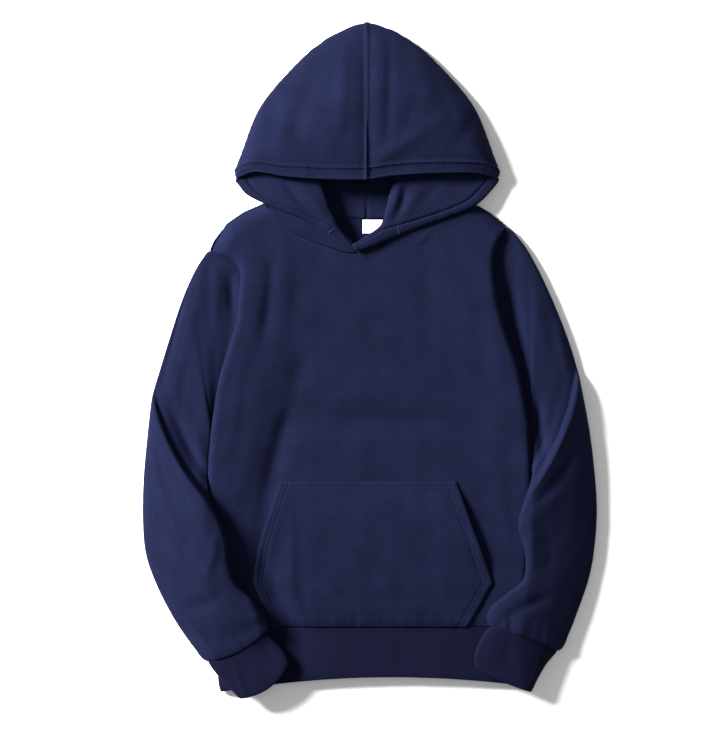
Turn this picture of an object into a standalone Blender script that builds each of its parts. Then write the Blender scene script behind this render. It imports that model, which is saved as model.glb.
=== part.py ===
"""Pullover hoodie laid flat on its back, with its hood spread above the shoulders.

The hoodie lies in the XY plane with the head towards +Y and its front facing +Z.
Left and right are the wearer's, so the wearer's right sleeve lies at -X.
Every length in the tables is in millimetres, and every height is that of the middle of the cloth.
"""
import math
from collections import namedtuple

import bmesh
import bpy
from mathutils import Matrix, Vector

MM = 0.001
LAID_SHIFT = (1.0, -0.6, 0.0)
CLOTH = 2.2
SEAM_GAP = 0.3
LAP = CLOTH + SEAM_GAP
FLOOR_CLOTH = CLOTH / 2
LAID_CLEARANCE = 0.9
FRONT_REST = 13.0
RIDGE_SPREAD = 30.0
SHOULDER_DROP = 22.0
SLEEVE_RAMP = 50.0
SLEEVE_BRIDGE = 90.0
SLEEVE_EDGE = 4.6
SHOULDER_TUCK = {-1: 0.7, 1: 0.4}
SLEEVE_START_DEPTH = 6.0
SLEEVE_END_DEPTH = 16.0
CUFF_TUCK = 0.15
CUFF_FREE = 0.15
CUFF_INSET = 0.08
CUFF_TUCKED_EDGE = 6.8
CUFF_LAP = LAP + 1.3
HOOD_CENTRE = -5.0
HOOD_SEAM_START = 198.0
LABEL_SIZE = (30.0, 20.0, 0.6)
LABEL_PLACE = (3.5, 194.0)
LABEL_HEIGHT = CLOTH + SEAM_GAP + LABEL_SIZE[2] / 2

# The front panel's two long edges, from the waist seam up to the shoulder tips.
# Each edge is a fold: the cloth rolls round it and ends below, at the side seam or the armhole.
EdgeRow = namedtuple(
    "EdgeRow", "right_x right_y right_roll right_wrap left_x left_y left_roll left_wrap end")
EDGE_ROWS = (
    EdgeRow(-218, -387, 8, 90, 217, -387, 8, 90, 3.8),
    EdgeRow(-230, -330, 9, 90, 226, -330, 9, 90, 3.8),
    EdgeRow(-236, -262, 9, 90, 231, -262, 9, 90, 3.8),
    EdgeRow(-237, -200, 9, 90, 234, -200, 9, 90, 3.8),
    EdgeRow(-235, -155, 9, 90, 234, -150, 9, 90, 3.8),
    EdgeRow(-232, -122, 9, 90, 232, -118, 9, 90, 3.8),
    EdgeRow(-229, -94, 9, 90, 229, -90, 9, 90, 12.0),
    EdgeRow(-222, -45, 9, 90, 221, -45, 9, 90, 12.0),
    EdgeRow(-215, -14, 9, 90, 214, -12, 9, 90, 12.0),
    EdgeRow(-204, 20, 9, 90, 202, 22, 9, 90, 12.0),
    EdgeRow(-194, 55, 9, 90, 190, 60, 9, 90, 12.0),
    EdgeRow(-189, 98, 9, 90, 181, 103, 9, 90, 12.0),
    EdgeRow(-189, 131, 12, 60, 178, 140, 9, 65, 12.0),
    EdgeRow(-204, 147, 18, 10, 182, 166, 6, 12, 12.0),
    EdgeRow(-232, 160, 14, 5, 197, 195, 3, 0, 11.0),
)
UNDERARM_ROW = 6
EDGE_FADE = 4
TOP_ROW = len(EDGE_ROWS) - 1

# The soft ridge just inside each fold, and how far the front rises there above its rest height.
RidgeRow = namedtuple("RidgeRow", "y right_x left_x rise")
RIDGE_ROWS = (
    RidgeRow(-485, -212, 208, 1.0),
    RidgeRow(-440, -212, 208, 2.0),
    RidgeRow(-387, -210, 208, 6.0),
    RidgeRow(-330, -221, 217, 8.0),
    RidgeRow(-262, -227, 222, 9.0),
    RidgeRow(-200, -228, 225, 10.0),
    RidgeRow(-118, -223, 223, 11.0),
    RidgeRow(-45, -213, 212, 11.0),
    RidgeRow(22, -194, 192, 11.0),
    RidgeRow(60, -184, 181, 11.0),
    RidgeRow(103, -179, 172, 11.0),
    RidgeRow(140, -181, 169, 9.0),
    RidgeRow(166, -189, 173, 6.0),
    RidgeRow(196, -200, 182, 3.0),
)

# Upper outline of the front: right shoulder, front neckline, left shoulder.
TopPoint = namedtuple("TopPoint", "across x y")
FRONT_TOP = (
    TopPoint(0.000, -232, 160),
    TopPoint(0.060, -207, 198),
    TopPoint(0.110, -184, 215),
    TopPoint(0.160, -154, 228),
    TopPoint(0.215, -133, 202),
    TopPoint(0.290, -104, 183),
    TopPoint(0.370, -70, 169),
    TopPoint(0.440, -38, 159),
    TopPoint(0.475, -22, 157),
    TopPoint(0.510, -2, 166),
    TopPoint(0.580, 32, 182),
    TopPoint(0.650, 66, 197),
    TopPoint(0.720, 100, 207),
    TopPoint(0.790, 131, 216),
    TopPoint(0.850, 153, 226),
    TopPoint(0.925, 176, 212),
    TopPoint(1.000, 197, 195),
)
BACK_TOP = (
    TopPoint(0.000, -232, 160),
    TopPoint(0.060, -207, 198),
    TopPoint(0.110, -184, 215),
    TopPoint(0.160, -154, 228),
    TopPoint(0.240, -117, 218),
    TopPoint(0.340, -73, 211),
    TopPoint(0.505, -2, 208),
    TopPoint(0.660, 68, 211),
    TopPoint(0.760, 112, 217),
    TopPoint(0.850, 153, 226),
    TopPoint(0.925, 176, 212),
    TopPoint(1.000, 197, 195),
)
SHOULDERS = (
    ((-232, 160), (-207, 198), (-184, 215), (-154, 228)),
    ((197, 195), (176, 212), (153, 226)),
)

# Soft folds of the front: centre, half lengths along and across, turn in degrees and height.
FoldRow = namedtuple("FoldRow", "x y long short turn rise")
FRONT_FOLDS = (
    FoldRow(-25, -95, 130, 16, 2, -2.4),
    FoldRow(-15, -62, 120, 18, -3, 1.4),
    FoldRow(-118, -130, 90, 26, 66, -2.6),
    FoldRow(-158, -40, 110, 20, 72, 1.6),
    FoldRow(-120, 70, 80, 22, 60, -1.6),
    FoldRow(120, 60, 90, 24, -62, -1.6),
    FoldRow(150, -120, 100, 26, -80, -1.8),
)

# Sleeve sections from below the armhole to the cuff seam.
# outer lies on the silhouette, inner beside or on the body; depth is the two layers' spread,
# and lift says how far the section climbs from the floor onto the body.
SleeveRow = namedtuple("SleeveRow", "outer_x outer_y inner_x inner_y bow depth lift")
RIGHT_SLEEVE = (
    SleeveRow(-237, 156, -229, -81, -9, 10.0, 0.00),
    SleeveRow(-254, 130, -232, -90, 0, 13.0, 0.00),
    SleeveRow(-273, 87, -234, -104, 0, 15.0, 0.00),
    SleeveRow(-292, 29, -237, -134, 2, 14.0, 0.00),
    SleeveRow(-307, -20, -239, -163, 7, 12.0, 0.25),
    SleeveRow(-314, -43, -240, -187, 11, 9.0, 0.75),
    SleeveRow(-318, -62, -228, -213, 11, 23.0, 1.00),
    SleeveRow(-324, -116, -217, -234, 6, 22.0, 1.00),
    SleeveRow(-329, -174, -207, -265, 3, 20.0, 1.00),
    SleeveRow(-330, -232, -202, -301, 0, 19.0, 1.00),
    SleeveRow(-326, -280, -192, -325, 0, 18.0, 1.00),
    SleeveRow(-312, -322, -171, -346, 0, 17.0, 1.00),
    SleeveRow(-288, -370, -157, -365, 4, 16.5, 1.00),
    SleeveRow(-262, -409, -150, -380, 8, 16.0, 1.00),
    SleeveRow(-238, -436, -148, -389, 10, SLEEVE_END_DEPTH, 1.00),
)
LEFT_SLEEVE = (
    SleeveRow(208, 185, 228, -78, -8, 10.0, 0.00),
    SleeveRow(227, 160, 232, -86, 0, 13.0, 0.00),
    SleeveRow(247, 123, 234, -98, 0, 15.0, 0.00),
    SleeveRow(270, 72, 236, -122, 2, 14.0, 0.00),
    SleeveRow(288, 25, 238, -146, 7, 12.0, 0.30),
    SleeveRow(298, -8, 238, -170, 11, 9.0, 0.80),
    SleeveRow(304, -32, 223, -203, 11, 23.0, 1.00),
    SleeveRow(317, -101, 214, -238, 6, 22.0, 1.00),
    SleeveRow(325, -167, 220, -262, 3, 20.0, 1.00),
    SleeveRow(328, -218, 225, -290, 0, 19.0, 1.00),
    SleeveRow(325, -268, 221, -318, 0, 18.0, 1.00),
    SleeveRow(317, -315, 198, -338, 0, 17.0, 1.00),
    SleeveRow(299, -368, 178, -354, 0, 16.5, 1.00),
    SleeveRow(285, -403, 170, -368, 0, 16.0, 1.00),
    SleeveRow(275, -422, 171, -384, -3, SLEEVE_END_DEPTH, 1.00),
)
RIGHT_CUFF = (
    SleeveRow(-236, -438, -147, -391, 10, 15.0, 1.0),
    SleeveRow(-224, -451, -143, -403, 10, 13.0, 1.0),
    SleeveRow(-207, -470, -127, -420, 11, 12.0, 1.0),
    SleeveRow(-188, -489, -118, -438, 12, 11.0, 1.0),
)
LEFT_CUFF = (
    SleeveRow(273, -425, 170, -386, -3, 15.0, 1.0),
    SleeveRow(258, -437, 162, -400, -1, 13.0, 1.0),
    SleeveRow(245, -456, 152, -424, 0, 12.0, 1.0),
    SleeveRow(232, -480, 153, -446, 2, 11.0, 1.0),
)

# Waist band: both ends and the sagging lower edge.
BandRow = namedtuple("BandRow", "down right_x right_y middle_y left_x left_y")
BAND_ROWS = (
    BandRow(0.0, -213, -385, -385, 212, -385),
    BandRow(0.2, -217, -400, -401, 216, -401),
    BandRow(0.7, -221, -455, -440, 217, -449),
    BandRow(1.0, -217, -482, -460, 215, -472),
)
BAND_EDGE = 4.8
BAND_TUCKED_EDGE = 10.5
BAND_DROP = 1.2

# Pouch pocket outline, from its lower seam to its upper seam, and how far its sides stand open.
PocketRow = namedtuple("PocketRow", "y right_x left_x right_open left_open puff")
POCKET_ROWS = (
    PocketRow(-383, -141, 140, 0.0, 0.0, 0.0),
    PocketRow(-352, -156, 160, 0.0, 0.0, 4.0),
    PocketRow(-322, -170, 176, 0.5, 1.0, 5.5),
    PocketRow(-270, -162, 158, 5.0, 7.0, 6.0),
    PocketRow(-225, -148, 141, 4.5, 6.0, 5.0),
    PocketRow(-176, -132, 124, 0.0, 0.0, 0.0),
)

# Hood front flaps, from the centre front to the side corner of the face opening.
# out is the distance from the hood's centre line towards its own side. The flap folds back at its
# crest, fold_depth high there, and runs under itself to the neck seam, where seam counts from the
# centre front (0) over the shoulder (1) to the centre back (2).
FlapRow = namedtuple(
    "FlapRow", "rim_out rim_y rim_z crest_out crest_y crest_z fold_depth seam root_share")
RIGHT_FLAP = (
    FlapRow(34, 164, 18.6, 22, 167, 19.0, 4.8, 0.10, 0.7),
    FlapRow(57, 183, 20.0, 42, 190, 21.5, 5.0, 0.25, 0.7),
    FlapRow(88, 202, 20.5, 49, 205, 23.0, 5.5, 0.45, 0.7),
    FlapRow(122, 216, 21.5, 57, 219, 23.5, 5.5, 0.68, 0.7),
    FlapRow(151, 228, 20.5, 61, 232, 23.5, 5.5, 0.86, 0.7),
    FlapRow(174, 240, 17.5, 65, 244, 23.0, 5.5, 0.94, 0.6),
    FlapRow(186, 254, 14.5, 69, 255, 22.0, 5.5, 0.975, 0.5),
    FlapRow(191, 265, 14.0, 73, 267, 21.0, 5.5, 1.00, 0.5),
)
LEFT_FLAP = (
    FlapRow(-17.5, 157, 25.0, -20, 164, 25.2, 5.2, 0.00, 0.7),
    FlapRow(8, 165, 24.0, -1, 175, 24.8, 5.2, 0.10, 0.7),
    FlapRow(34, 176, 22.5, 20, 190, 25.0, 5.5, 0.26, 0.7),
    FlapRow(66, 189, 21.5, 28, 207, 24.5, 5.5, 0.46, 0.7),
    FlapRow(102, 202, 21.5, 32, 223, 24.0, 5.5, 0.68, 0.7),
    FlapRow(136, 215, 21.5, 35, 237, 23.5, 5.5, 0.86, 0.7),
    FlapRow(161, 227, 19.0, 39, 249, 22.5, 5.5, 0.94, 0.6),
    FlapRow(180, 246, 15.0, 42, 260, 21.5, 5.5, 0.975, 0.5),
    FlapRow(191, 265, 14.0, 45, 271, 21.0, 5.5, 1.00, 0.5),
)
NECK_LAP = 2.0
NECK_REACH = 2.0
NECK_RISE = LAP + 0.6
SHOULDER_LAP = -2.7
SHOULDER_NECK = 6.0
LAP_TURN = 0.15
NECK_TURN = 0.05
TUCK_LEAN = 0.03
FOLD_LEAN = 0.05
FULL_FOLD = 5.5
CENTRE_FRONT = 0.48
NECK_SHOULDERS = {-1: 0.160, 1: 0.850}
CENTRE_BACK = 0.498
FLAP_STEPS = (0.0, 0.05, 0.12, 0.55, 1.0)
FLAP_PUFF = (0.0, 0.3, 0.8, 2.5, 0.0)
FLAP_FULL_WIDTH = 60.0

# Hood crown, from the side corner to the centre seam: face opening, silhouette, crown height,
# and the fold that each side of the back layer makes beside the neck.
CrownRow = namedtuple(
    "CrownRow", "rim_out right_rim_y left_rim_y rim_z side_out side_y side_z crown_z back_z"
    " right_crest left_crest crest_y crest_z fold_depth seam")
CROWN_ROWS = (
    CrownRow(183, 269, 268, 21, 190, 275, 14, 21, 18.0, 65, 37, 278, 17.0, 5.5, 1.15),
    CrownRow(160, 272, 270, 28, 181, 302, 12, 31, 14.0, 53, 27, 287, 10.0, 3.5, 1.35),
    CrownRow(119, 265, 270, 33, 152, 371, 11, 43, 5.0, 39, 18, 293, 4.0, 0.0, 1.60),
    CrownRow(68, 261, 268, 37, 94, 438, 10, 50, 1.3, 26, 11, 298, 1.3, 0.0, 1.80),
    CrownRow(32, 260, 265, 38, 53, 470, 9, 50, 1.1, 13, 5, 301, 1.1, 0.0, 1.92),
    CrownRow(13, 260, 262, 38, 22, 485, 9, 49, 1.1, 5, 2, 302, 1.1, 0.0, 1.97),
    CrownRow(0.15, 260, 260, 38, 0.15, 490, 9, 48, 1.1, 0.15, 0.15, 303, 1.1, 0.0, 2.00),
)
CROWN_LEAN = 0.45
BACK_LEAN = 0.30
ROOT_LEAN = 0.62

COLOURS = {
    "fleece": (0.016, 0.021, 0.060),
    "rib": (0.014, 0.018, 0.052),
    "label": (0.80, 0.80, 0.79),
}


def clamp(value, low=0.0, high=1.0):
    return max(low, min(high, value))


def ease(value):
    value = clamp(value)
    return value * value * (3 - 2 * value)


def mix(a, b, share):
    return a + (b - a) * share


def mix_points(a, b, share):
    return tuple(mix(p, q, share) for p, q in zip(a, b))


def bend(values, at):
    """Read a smooth curve through evenly spaced values at the given place."""
    at = clamp(at, 0, len(values) - 1)
    low = min(int(at), len(values) - 2)
    share = at - low
    before = values[max(low - 1, 0)]
    start = values[low]
    end = values[low + 1]
    after = values[min(low + 2, len(values) - 1)]
    slope_in = (end - before) / 2
    slope_out = (after - start) / 2
    square = share * share
    cube = square * share
    return ((2 * cube - 3 * square + 1) * start + (cube - 2 * square + share) * slope_in
            + (3 * square - 2 * cube) * end + (cube - square) * slope_out)


def step(values, at):
    """Read evenly spaced values with an eased step between neighbours, so nothing overshoots."""
    at = clamp(at, 0, len(values) - 1)
    low = min(int(at), len(values) - 2)
    return mix(values[low], values[low + 1], ease(at - low))


def straight(values, at):
    """Read evenly spaced values with straight lines between neighbours."""
    low = min(int(at), len(values) - 2)
    return mix(values[low], values[low + 1], at - low)


def column(rows, name):
    return [getattr(row, name) for row in rows]


def place_in(keys, key):
    """Turn a value of an ascending key column into a place along its rows."""
    if key <= keys[0]:
        return 0.0
    for low in range(len(keys) - 1):
        if key <= keys[low + 1]:
            return low + (key - keys[low]) / (keys[low + 1] - keys[low])
    return len(keys) - 1.0


def distance_to_line(x, y, points):
    """Shortest distance from a place to a run of straight pieces."""
    best = None
    for (ax, ay), (bx, by) in zip(points, points[1:]):
        run = (bx - ax, by - ay)
        share = clamp(((x - ax) * run[0] + (y - ay) * run[1]) / (run[0] ** 2 + run[1] ** 2))
        gap = math.hypot(x - ax - run[0] * share, y - ay - run[1] * share)
        best = gap if best is None else min(best, gap)
    return best


def side_name(side):
    return "right" if side < 0 else "left"


def ridge(side, y):
    """Where the ridge inside a side fold runs at this height of the body, and its rise."""
    at = place_in(column(RIDGE_ROWS, "y"), y)
    return bend(column(RIDGE_ROWS, side_name(side) + "_x"), at), bend(column(RIDGE_ROWS, "rise"), at)


def fold_relief(x, y, folds):
    """Sum of the soft folds at a place."""
    total = 0.0
    for fold in folds:
        turn = math.radians(fold.turn)
        along = ((x - fold.x) * math.cos(turn) + (y - fold.y) * math.sin(turn)) / fold.long
        across = ((y - fold.y) * math.cos(turn) - (x - fold.x) * math.sin(turn)) / fold.short
        total += fold.rise * math.exp(-along * along - across * across)
    return total


def front_height(x, y):
    """Height of the front's cloth inside its two side folds."""
    height = FRONT_REST + fold_relief(x, y, FRONT_FOLDS)
    for side in (-1, 1):
        ridge_x, rise = ridge(side, y)
        inward = max(0.0, (ridge_x - x) * side)
        height += rise * math.exp(-(inward / RIDGE_SPREAD) ** 2)
    for shoulder in SHOULDERS:
        gap = distance_to_line(x, y, shoulder)
        if gap < SHOULDER_DROP:
            height = mix(LAP + FLOOR_CLOTH, height, math.sin(math.pi / 2 * gap / SHOULDER_DROP))
    return height


def edge(side, at):
    """Fold line of the front at a place along EDGE_ROWS, with its outward direction."""
    name = side_name(side)
    xs = column(EDGE_ROWS, name + "_x")
    ys = column(EDGE_ROWS, name + "_y")
    x, y = bend(xs, at), bend(ys, at)
    dx = bend(xs, at + 0.05) - bend(xs, at - 0.05)
    dy = bend(ys, at + 0.05) - bend(ys, at - 0.05)
    size = math.hypot(dx, dy)
    return x, y, side * dy / size, -side * dx / size


def edge_roll(side, at):
    """Radius of the fold's roll, how far round it goes and where its cloth ends."""
    name = side_name(side)
    radius = step(column(EDGE_ROWS, name + "_roll"), at)
    wrap = step(column(EDGE_ROWS, name + "_wrap"), at)
    return radius, math.radians(wrap), step(column(EDGE_ROWS, "end"), at)


def outline_point(points, share):
    """Straight-sided outline through named places, read by its share across."""
    at = place_in(column(points, "across"), share)
    low = min(int(at), len(points) - 2)
    return (mix(points[low].x, points[low + 1].x, at - low),
            mix(points[low].y, points[low + 1].y, at - low))


def inset_edge(side, at, inset):
    """The fold line moved in towards the body."""
    x, y, nx, ny = edge(side, at)
    pull = inset(side, at)
    return x - nx * pull, y - ny * pull


def body_place(top, across, up, inset):
    """Even net from the waist line to the upper outline, drawn out to the two long edges."""
    x, y = 0.0, 0.0
    ends = []
    for side, weight in ((-1, (1 - across) ** EDGE_FADE), (1, across ** EDGE_FADE)):
        low, high = inset_edge(side, 0, inset), inset_edge(side, TOP_ROW, inset)
        here = inset_edge(side, up * TOP_ROW, inset)
        straight = mix_points(low, high, up)
        x += (here[0] - straight[0]) * weight
        y += (here[1] - straight[1]) * weight
        ends.append((low, high))
    outline = (TopPoint(0, *ends[0][1]),) + top[1:-1] + (TopPoint(1, *ends[1][1]),)
    waist = mix_points(ends[0][0], ends[1][0], across)
    spine = mix_points(waist, outline_point(outline, across), up)
    return x + spine[0], y + spine[1]


def front_place(across, up):
    """Front panel: the middle lies over the body and each side rolls under."""
    if 0 <= across <= 1:
        x, y = body_place(FRONT_TOP, across, up, lambda side, at: edge_roll(side, at)[0])
        return x, y, front_height(x, y)
    side = -1 if across < 0 else 1
    round_share = -across if across < 0 else across - 1
    at = up * TOP_ROW
    x, y, nx, ny = edge(side, at)
    radius, wrap, end = edge_roll(side, at)
    inner_x, inner_y, top = front_place(0 if side < 0 else 1, up)
    turn = mix(math.pi / 2, -wrap, round_share)
    half = max(0.0, top - end) / (1 + math.sin(wrap))
    reach = radius * (1 - math.cos(turn))
    drop = top - half + half * math.sin(turn)
    return x - nx * reach, y - ny * reach, drop


def back_inset(side, at):
    """The back ends under the roll beside an armhole and at the fold beside the body."""
    radius, wrap, _end = edge_roll(side, at)
    share = ease(at - UNDERARM_ROW + 1)
    return mix(-1.5, radius * (1 - math.cos(wrap)), share)


def back_place(across, up):
    x, y = body_place(BACK_TOP, across, up, back_inset)
    return x, y, FLOOR_CLOTH


def body_support(x, y):
    """Height at which cloth laid across a side of the body comes to rest."""
    side = -1 if x < 0 else 1
    ridge_x, rise = ridge(side, y)
    inward = (ridge_x - x) * side + 9.0
    crest = FRONT_REST + rise + CLOTH + LAID_CLEARANCE
    if inward < 0:
        return crest * ease(1 + inward / SLEEVE_RAMP)
    return mix(crest, front_height(x, y) + CLOTH + LAID_CLEARANCE, ease(inward / SLEEVE_BRIDGE))


def armhole_place(side, share):
    """Armhole line from the shoulder tip to the underarm, where the sleeve's cloth begins."""
    at = mix(TOP_ROW - SHOULDER_TUCK[side], UNDERARM_ROW + 0.3, share)
    x, y, nx, ny = edge(side, at)
    radius, wrap, _end = edge_roll(side, at)
    reach = radius * (1 - math.cos(wrap)) + 1.5
    return x - nx * reach, y - ny * reach


def section_place(rows, at, share):
    """Place on a sleeve section, outer edge to inner edge, bowed towards the cuff."""
    outer = (bend(column(rows, "outer_x"), at), bend(column(rows, "outer_y"), at))
    inner = (bend(column(rows, "inner_x"), at), bend(column(rows, "inner_y"), at))
    x, y = mix_points(outer, inner, share)
    run = (inner[0] - outer[0], inner[1] - outer[1])
    size = math.hypot(*run)
    side = 1 if outer[0] < 0 else -1
    push = bend(column(rows, "bow"), at) * 4 * share * (1 - share)
    return x + side * push * run[1] / size, y - side * push * run[0] / size


def flat_ring(turn):
    """Share across, top share and bottom share of a flattened tube at an angle round it."""
    cosine, sine = math.cos(turn), math.sin(turn)
    share = (1 - math.copysign(abs(cosine) ** 0.8, cosine)) / 2
    return share, sine


def sleeve_place(side, rows, around, along):
    """Sleeve: begins along the armhole and becomes a flattened tube."""
    at = along * len(rows)
    share, sine = flat_ring(around * 2 * math.pi)
    blend = ease(at)
    section = max(at - 1, 0.0)
    x, y = section_place(rows, section, share)
    if at < 1:
        x, y = mix_points(armhole_place(side, share), (x, y), at)
    lift = step(column(rows, "lift"), section)
    depth = step(column(rows, "depth"), section)
    base = mix(0.0, body_support(x, y), lift) if lift > 0 else 0.0
    base += (LAP + 0.2) * (1 - ease((at - 0.25) / 0.35))
    depth = mix(SLEEVE_START_DEPTH, depth, blend)
    if sine >= 0:
        full = sine ** mix(0.25, 0.7, blend)
        return x, y, base + mix(SLEEVE_EDGE, depth, full)
    full = min(1.0, 1.2 * (-sine) ** 0.4)
    return x, y, base + mix(SLEEVE_EDGE, FLOOR_CLOTH, full)


def tucked_place(rows, around, at):
    """Place on a ring that lies one lap inside the sleeve's own ring."""
    share, sine = flat_ring(around * 2 * math.pi)
    x, y = section_place(rows, at, mix(share, 0.5, CUFF_INSET))
    base = body_support(x, y)
    if sine >= 0:
        return x, y, base + mix(CUFF_TUCKED_EDGE, SLEEVE_END_DEPTH - CUFF_LAP, sine)
    return x, y, base + mix(CUFF_TUCKED_EDGE, FLOOR_CLOTH + CUFF_LAP, min(1.0, 1.2 * (-sine) ** 0.4))


def cuff_place(rows, sleeve_rows, around, along):
    """Cuff: a flattened tube whose upper end is tucked just inside the sleeve's end."""
    at = along * (len(rows) - 1)
    share, sine = flat_ring(around * 2 * math.pi)
    x, y = section_place(rows, at, share)
    base = body_support(x, y)
    depth = step(column(rows, "depth"), at)
    if sine >= 0:
        height = base + mix(SLEEVE_EDGE, depth, sine ** 0.6)
    else:
        height = base + mix(SLEEVE_EDGE, FLOOR_CLOTH, min(1.0, 1.2 * (-sine) ** 0.4))
    if at >= 1:
        return x, y, height
    last = len(sleeve_rows) - 1
    tucked = tucked_place(sleeve_rows, around, min(last, last - CUFF_TUCK * (1 - at / CUFF_FREE)))
    return mix_points(tucked, (x, y, height), ease((at - CUFF_FREE) / (1 - CUFF_FREE)))


def band_place(around, along):
    """Waist band: a flattened tube tucked just inside the body's lower edge."""
    at = place_in(column(BAND_ROWS, "down"), along)
    share, sine = flat_ring(around * 2 * math.pi)
    right = (bend(column(BAND_ROWS, "right_x"), at), bend(column(BAND_ROWS, "right_y"), at))
    left = (bend(column(BAND_ROWS, "left_x"), at), bend(column(BAND_ROWS, "left_y"), at))
    x, y = mix_points(right, left, share)
    y += (bend(column(BAND_ROWS, "middle_y"), at) - (right[1] + left[1]) / 2) * 4 * share * (1 - share)
    tuck = (LAP + 0.3) * (1 - ease((along - 0.06) / 0.2))
    edge_height = mix(BAND_TUCKED_EDGE, BAND_EDGE, ease(along / 0.4))
    if sine >= 0:
        top = front_height(x, y) - BAND_DROP * ease(along / 0.3) - tuck
        return x, y, mix(edge_height, top, sine ** 0.5)
    return x, y, mix(edge_height, FLOOR_CLOTH + tuck, min(1.0, 1.15 * (-sine) ** 0.45))


def pocket_place(across, up):
    """Pouch pocket: the front's own surface moved out, puffed and open at both slanted sides."""
    at = up * (len(POCKET_ROWS) - 1)
    y = straight(column(POCKET_ROWS, "y"), at)
    right = straight(column(POCKET_ROWS, "right_x"), at)
    x = mix(right, straight(column(POCKET_ROWS, "left_x"), at), across)
    lift = step(column(POCKET_ROWS, "puff"), at) * (4 * across * (1 - across)) ** 0.5
    lift = max(lift, step(column(POCKET_ROWS, "right_open"), at) * (1 - across) ** 2)
    lift = max(lift, step(column(POCKET_ROWS, "left_open"), at) * across ** 2)
    return x, y, front_height(x, y) + LAP + 0.2 + lift


def neck_outline(side, seam):
    """Neckline of the front up to the shoulder, and of the back beyond it."""
    shoulder = NECK_SHOULDERS[side]
    if seam <= 1:
        return outline_point(FRONT_TOP, mix(CENTRE_FRONT, shoulder, seam))
    return outline_point(BACK_TOP, mix(shoulder, CENTRE_BACK, seam - 1))


def neck_seam(side, seam):
    """Place on the neck seam where a hood half laps over the front or the back.

    At the shoulder the seam passes just outside both panels on its way from one to the other.
    """
    x, y = neck_outline(side, seam)
    low, high = (seam - 0.02, seam) if seam <= 1 else (max(seam - 0.01, 1.00001), min(seam + 0.01, 2))
    start, end = neck_outline(side, low), neck_outline(side, high)
    run = math.dist(start, end)
    across, down = abs(end[0] - start[0]) / run, side * (end[1] - start[1]) / run
    if seam > 1:
        down = -down
    lap = mix(SHOULDER_LAP, NECK_LAP, ease(abs(seam - 1) / LAP_TURN))
    x += down * lap
    y -= across * lap
    if seam <= 1:
        deeper = (x + down * NECK_REACH, y - across * NECK_REACH)
        height = max(front_height(x, y), front_height(*deeper)) + NECK_RISE
    else:
        height = FLOOR_CLOTH + NECK_RISE
    out = (x - HOOD_CENTRE) * side
    if seam > 1:
        out = max(out, SEAM_GAP / 2)
    return out, y, mix(SHOULDER_NECK, height, ease(abs(seam - 1) / NECK_TURN))


def flap_points(side, row):
    """Free edge, crest, the fold beyond it, and back underneath to the neck seam."""
    rim = (row.rim_out, row.rim_y, row.rim_z)
    crest = (row.crest_out, row.crest_y, row.crest_z)
    neck = neck_seam(side, row.seam)
    width = math.dist(rim[:2], crest[:2])
    points = []
    for share, puff in zip(FLAP_STEPS, FLAP_PUFF):
        out, y, z = mix_points(rim, crest, share)
        points.append((out, y, z + puff * clamp(width / FLAP_FULL_WIDTH)))
    beyond = 1 + row.fold_depth / 2 / width
    fold = mix_points(rim, crest, beyond)
    points.append((fold[0], fold[1], row.crest_z - row.fold_depth / 2))
    tuck = mix_points(crest, neck, TUCK_LEAN)
    points.append((tuck[0], tuck[1], row.crest_z - row.fold_depth))
    root = mix_points(crest, neck, 0.5)
    points.append((root[0], root[1], mix(row.crest_z - row.fold_depth, neck[2], row.root_share)))
    return points


def crown_points(side, row):
    """Upper free edge, crown, silhouette, and back underneath over the crest to the neck seam."""
    name = side_name(side)
    rim = (row.rim_out, getattr(row, name + "_rim_y"), row.rim_z)
    edge_point = (row.side_out, row.side_y, row.side_z)
    crest = (getattr(row, name + "_crest"), row.crest_y, row.crest_z)
    neck = neck_seam(side, row.seam)
    crown = mix_points(rim, edge_point, CROWN_LEAN)
    back = mix_points(edge_point, crest, BACK_LEAN)
    slack = 1 - row.fold_depth / FULL_FOLD
    fold = mix_points(crest, neck, FOLD_LEAN * slack)
    beyond = row.fold_depth / 2 / math.dist(edge_point[:2], crest[:2])
    tuck = mix_points(crest, neck, mix(TUCK_LEAN, FOLD_LEAN * 2, slack))
    root = mix_points(crest, neck, ROOT_LEAN)
    fall = max(row.fold_depth, (row.crest_z - FLOOR_CLOTH) * 0.35)
    return [rim, (crown[0], crown[1], row.crown_z), edge_point, (back[0], back[1], row.back_z), crest,
            (fold[0] + (crest[0] - edge_point[0]) * beyond, fold[1] + (crest[1] - edge_point[1]) * beyond,
             row.crest_z - fall / 2),
            (tuck[0], tuck[1], row.crest_z - fall),
            (root[0], root[1], mix(FLOOR_CLOTH, row.crest_z, 0.1))]


def hood_net(side):
    """Key points of every row round the face opening, and where each row meets the neck seam."""
    flaps = RIGHT_FLAP if side < 0 else LEFT_FLAP
    rows = [flap_points(side, row) for row in flaps] + [crown_points(side, row) for row in CROWN_ROWS]
    return rows, column(flaps, "seam") + column(CROWN_ROWS, "seam")


def thread(points, place):
    """Read a smooth line through uneven points; its bends stay inside their own spans."""
    low = min(int(place), len(points) - 2)
    share = place - low
    start, end = Vector(points[low]), Vector(points[low + 1])
    span = (end - start).length ** 0.5
    slope_in = slope_out = end - start
    if low > 0:
        before = start - Vector(points[low - 1])
        reach = before.length ** 0.5
        slope_in = (before * span / reach + (end - start) * reach / span) * span / (reach + span)
    if low < len(points) - 2:
        after = Vector(points[low + 2]) - end
        reach = after.length ** 0.5
        slope_out = ((end - start) * reach / span + after * span / reach) * span / (reach + span)
    square = share * share
    cube = square * share
    return ((2 * cube - 3 * square + 1) * start + (cube - 2 * square + share) * slope_in
            + (3 * square - 2 * cube) * end + (cube - square) * slope_out)


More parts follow.
